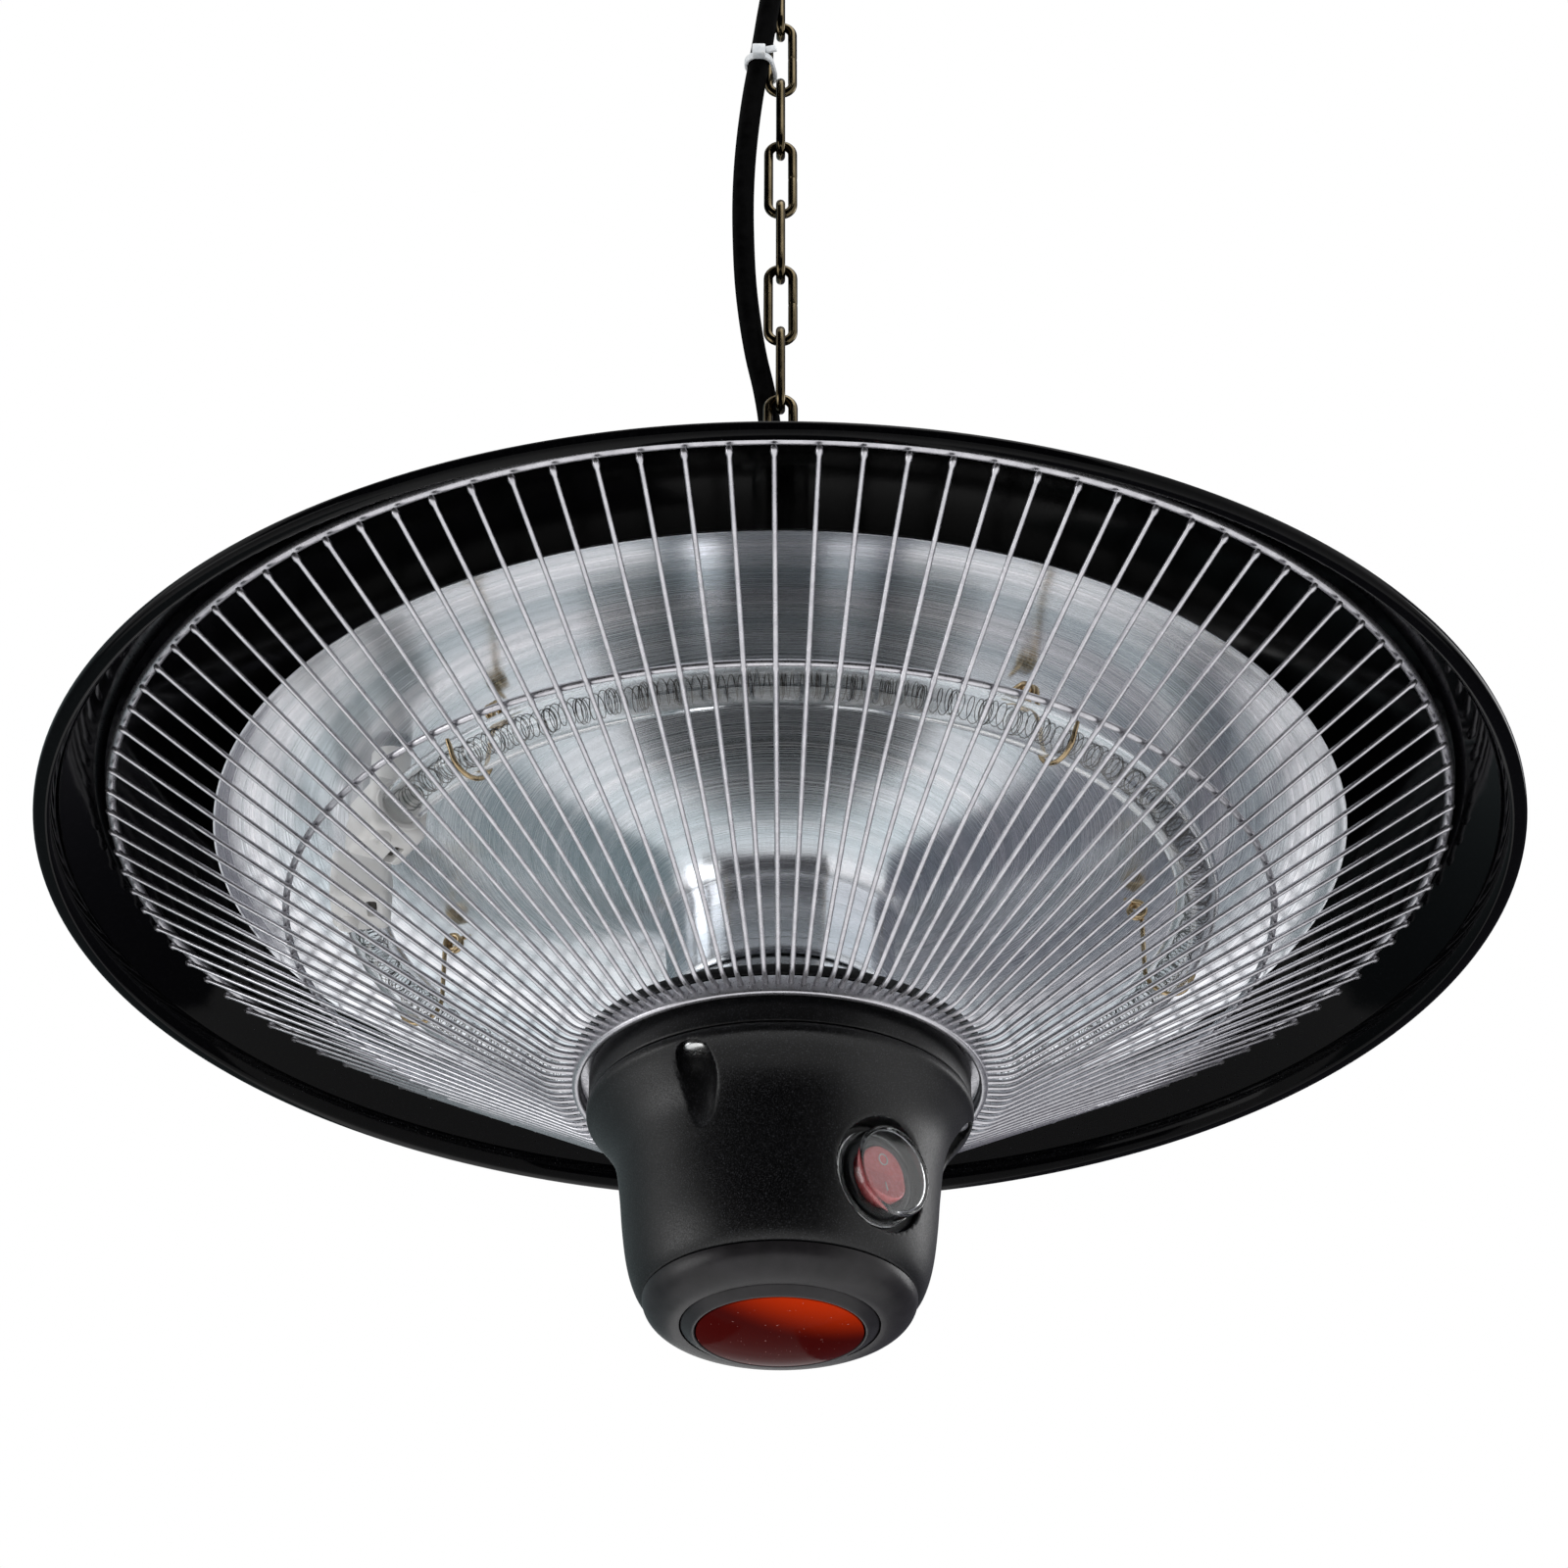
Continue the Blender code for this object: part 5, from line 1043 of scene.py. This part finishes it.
reach = BELL_RADIUS - BELL_FOOT_RADIUS
rise = BELL_TOP - BELL_FOOT
profile = [(BELL_FOOT_RADIUS + reach * out, BELL_FOOT + rise * up) for out, up in (
    (0.997, 0.95), (0.922, 0.93), (0.765, 0.87), (0.586, 0.79), (0.474, 0.71), (0.388, 0.54), (0.331, 0.36),
    (0.256, 0.2), (0.175, 0.105), (0.075, 0.035), (0.0, 0.006),
)]
profile = [tuple(spot) for spot in smooth_line(profile, 0.0012)]
lip = [(0.0385, BELL_TOP), (BELL_RADIUS, BELL_TOP), (BELL_RADIUS, BELL_TOP - 0.0018), profile[0]]
lip = eased(lip, 0.0006, 3, False)
bell = turned(lip + profile + [(BELL_FOOT_RADIUS - 0.0004, BELL_FOOT), (0.0315, BELL_FOOT)], 200)
FACING = spin(SWITCH_TURN, "Z") @ spin(math.pi / 2, "Y")
FACING = shift(0, 0, SWITCH_HEIGHT) @ FACING
cutters = [put(rod(0.0155, 0.037, 0.06, 96), FACING), put(rod(0.01, 0.016, 0.041), FACING)]
slot_line = [(0, 0), (0.0054, 0), (0.0054, -0.019), (0.0036, -0.0245), (0, -0.026)]
for turn in SCREW_TURNS:
    spot = shift(*polar(SCREW_CIRCLE, turn), BELL_TOP - 0.0016)
    cutters += [put(turned(slot_line, 48, False, 0.003, 5), spot), put(rod(0.00205, -0.004, 0.004, 32), spot)]
bell = from_boolean(bell, cutters, 0.00055, 8)
add_piece(
    "bell_moulding", [put(bell, ON_RIM)], housing, "heater", "housing_bell", slot="housing_plastic", sharp=60,
)

# The bell's foot is closed by a dome of smoother plastic and a ring that holds the red window,
# a lens over the infrared receiver.
LENS_RADIUS = 0.0226
LENS_BULGE = 0.0035
LENS_BACK = -0.1405
LENS_EDGE = -0.1433

lower = finish(
    "smooth_dark_plastic", (0.014, 0.0125, 0.014), 0.34, Specular_IOR_Level=0.28, gloss=(2100, 3, 0.28, 0.42),
    tones=(150, 6, (0.009, 0.008, 0.009), (0.02, 0.018, 0.0205)), grain=(2600, 2, 0.16, 0.0001),
)

base_outer = BELL_FOOT_RADIUS - 0.0005
base_foot = 0.0272
crown = [
    (base_foot + (base_outer - base_foot) * math.cos(a), -0.1337 - 0.0076 * math.sin(a))
    for a in np.linspace(0, math.pi / 2, 20)
]
base = [*crown, (base_foot, -0.1387), (base_outer - 0.0029, -0.1337)]
add_turned("bottom_dome", base, 200, lower, "housing_base", "lower_housing", sharp=50)
lens_ring = [
    (0.0269, -0.1387), (0.0269, -0.1412), (0.024, -0.1432), (0.0232, LENS_EDGE), (0.0229, -0.143),
    (0.0229, -0.1387),
]
add_turned("window_ring", lens_ring, 192, lower, "lens_ring", "lower_housing", 0.0006)

ruby = finish(
    "red_window", (0.2, 0.008, 0.004), 0.05, Specular_IOR_Level=0.02, IOR=1.2, gloss=(320, 5, 0.03, 0.14),
)
# The window's colour is painted: orange-bright towards its near right side and dark red away from it, a
# painted glow and painted shade that stand in for light inside the lens. The pale specks over it are dust.
tree = ruby.node_tree
place = node(tree, "TexCoord").outputs["Object"]
slant = node(tree, "VectorMath", {0: place, 1: (-0.45, 0.9, 0)}, operation="DOT_PRODUCT")
shade = node(
    tree, "MapRange", {"Value": slant.outputs["Value"], "From Min": -0.025, "From Max": -0.005},
    interpolation_type="SMOOTHSTEP",
)
painted_glow_and_shade = between(tree, shade.outputs[0], (0.7, 0.04, 0.004), (0.07, 0.0035, 0.003), 0.0, 1.0)
dust = between(tree, speckle(tree, 1400, 1), 0.0, 1.0, 0.76, 0.8)
dusty = node(tree, "Mix", {"Factor": dust, "A": painted_glow_and_shade, "B": (0.6, 0.3, 0.28, 1)}, data_type="RGBA")
tree.links.new(dusty.outputs["Result"], tree.nodes["Principled BSDF"].inputs["Base Color"])
sphere = (LENS_RADIUS**2 + LENS_BULGE**2) / (2 * LENS_BULGE)
lens = [(0, LENS_BACK), (LENS_RADIUS, LENS_BACK)]
lens += [
    (sphere * math.sin(a), LENS_EDGE - LENS_BULGE + sphere * (1 - math.cos(a)))
    for a in np.linspace(math.asin(LENS_RADIUS / sphere), 0, 24)
]
lens[-1] = (0, LENS_EDGE - LENS_BULGE)
add_turned("red_window_lens", lens, 160, ruby, "receiver_lens", "lens_red", closed=False, sharp=50)

# Three pan-head screws with cross recesses, zinc-plated. They stand in the bell's slots and draw
# it up to the collar.
cross = [soft_block((0.0036, 0.0007, 0.0026), 0.0001, 1), soft_block((0.0007, 0.0036, 0.0026), 0.0001, 1)]
head = [(0, 0.0095), (0.0015, 0.0095), (0.00175, 0.009), (0.00175, 0.0), (0.0038, 0.0), (0.0038, -0.0008)]
turns = np.linspace(0.2, math.pi / 2, 10)[:-1]
head += [(0.0038 * math.cos(a), -0.0008 - 0.0016 * math.sin(a)) for a in turns]
screw = from_boolean(
    turned([*head, (0, -0.0024)], 48, False), [put(bar, shift(0, 0, -0.0023)) for bar in cross],
)
for number, turn in enumerate(SCREW_TURNS, start=1):
    spot = shift(*polar(SCREW_CIRCLE, turn), BELL_TOP - 0.0019)
    add_piece(
        f"bell_screw_{number}", [put(screw, ON_RIM @ spot @ spin(0.7 * number, "Z"))], zinc, "heater",
        f"housing_screw_{number}", slot="plated_steel", sharp=30,
    )

# The switch: a round black barrel with a narrow bezel, a red rocker with a raised ring and bar,
# and a clear flexible cover that is pressed on over both.
SWITCH_SEAT = 0.0373
WELL = SWITCH_SEAT + 0.0024 - 0.0042
ON_SWITCH = ON_RIM @ FACING
barrel = [
    (0, WELL), (0.0089, WELL), (0.0089, 0.0397), (0.0106, 0.0397), (0.0112, 0.0391), (0.0112, SWITCH_SEAT),
    (0.0097, SWITCH_SEAT), (0.0097, 0.02), (0, 0.02),
]
add_turned("switch_barrel", barrel, 96, housing, "switch_body", "housing_plastic", 0.0003, False, ON_SWITCH)

clear = finish(
    "clear_cover", (0.93, 0.95, 0.96), 0.05, Transmission_Weight=1.0, IOR=1.48, gloss=(380, 4, 0.03, 0.12),
    grain=(200, 2, 0.08, 0.0002),
)
top = SWITCH_SEAT + 0.0086
flange = SWITCH_SEAT + 0.0014
cover = [
    (0, top), (0.0127, top), (0.0127, flange), (0.0135, flange), (0.0135, SWITCH_SEAT), (0.0117, SWITCH_SEAT),
    (0.0117, top - 0.001), (0, top - 0.001),
]
add_turned(
    "clear_switch_cover", cover, 128, clear, "switch_cover", "cover_clear", 0.0009, False, ON_SWITCH, 5,
)

red = finish(
    "red_rocker", (0.72, 0.07, 0.07), 0.24, Subsurface_Weight=0.15, Subsurface_Radius=(0.004, 0.001, 0.001),
    Subsurface_Scale=0.5, tones=(300, 4, (0.8, 0.12, 0.13), (0.9, 0.2, 0.2)), gloss=(1200, 2, 0.18, 0.32),
)
THROW = math.radians(8)
ROCKER_EDGE = 0.008
HINGE = (
    shift(0.024825, -0.027571, RIM + SWITCH_HEIGHT) @ spin(SWITCH_TURN, "Z")
    @ spin(math.pi / 2 - THROW, "Y")
)
face = [(ROCKER_EDGE * share, 0.0036) for share in np.linspace(0, 0.93, 24)]
face += [(0.0077, 0.0035), (0.0079, 0.0033), (ROCKER_EDGE, 0.003), (ROCKER_EDGE, 0.0002), (0.0078, 0), (0, 0)]
points, faces = turned(face, 96, False)
points = [(x, y, z + (math.hypot(x, 0.0004) * math.tan(THROW) if z > 0.002 else 0)) for x, y, z in points]
add_piece(
    "rocker_moulding", [put((points, faces), HINGE)], red, "rocker", "switch_rocker", slot="rocker_red",
    sharp=50,
)
white_ink = finish(
    "white_marks", (0.88, 0.86, 0.85), 0.4, tones=(900, 3, (0.78, 0.74, 0.73), (0.92, 0.9, 0.89)),
)
bar = soft_block((0.003, 0.0004, 0.0003), 0.0001, 2)
ring = [(0.0017, 0.00014), (0.0017, -0.0001), (0.0013, -0.0001), (0.0013, 0.00014)]
ring = turned(ring, 64, True, 0.00008, 2)
marks = []
for mark, side in ((bar, 1), (ring, -1)):
    over_face = shift(side * 0.0042, 0, 0.0036 + 0.0042 * math.tan(THROW))
    marks.append(put(mark, HINGE @ over_face @ spin(-side * THROW, "Y")))
add_piece("rocker_marks", marks, white_ink, "rocker", slot="rocker_red")

# Inside: the cable from the strain relief down the stack, the nuts and the stem that clamp it,
# and the control board with its infrared receiver and terminal block.
cable = [(CORD_EXIT[0], CORD_EXIT[1], RIM + height) for height in np.linspace(0.0985, -0.1169, 60)]
cable = round_wire(cable, CORD_RADIUS, 24)
add_piece("cable_down_the_stack", [cable], rubber, "heater", "inner_cable", slot="cord_rubber")
board = finish(
    "green_board", (0.03, 0.2, 0.08), 0.45, tones=(260, 6, (0.015, 0.13, 0.05), (0.04, 0.26, 0.11)),
    gloss=(900, 2, 0.3, 0.5),
)
dark_glass = finish("receiver_resin", (0.02, 0.006, 0.01), 0.12, gloss=(400, 2, 0.08, 0.2))
for name, look in (
    ("stem_tube", zinc), ("shade_nut", zinc), ("reflector_nut", zinc), ("hub_nut", zinc),
    ("control_board", board), ("infrared_receiver", dark_glass), ("terminal_block", nylon),
):
    for spot in frame["nodes"][name].material_slots:
        spot.material = look
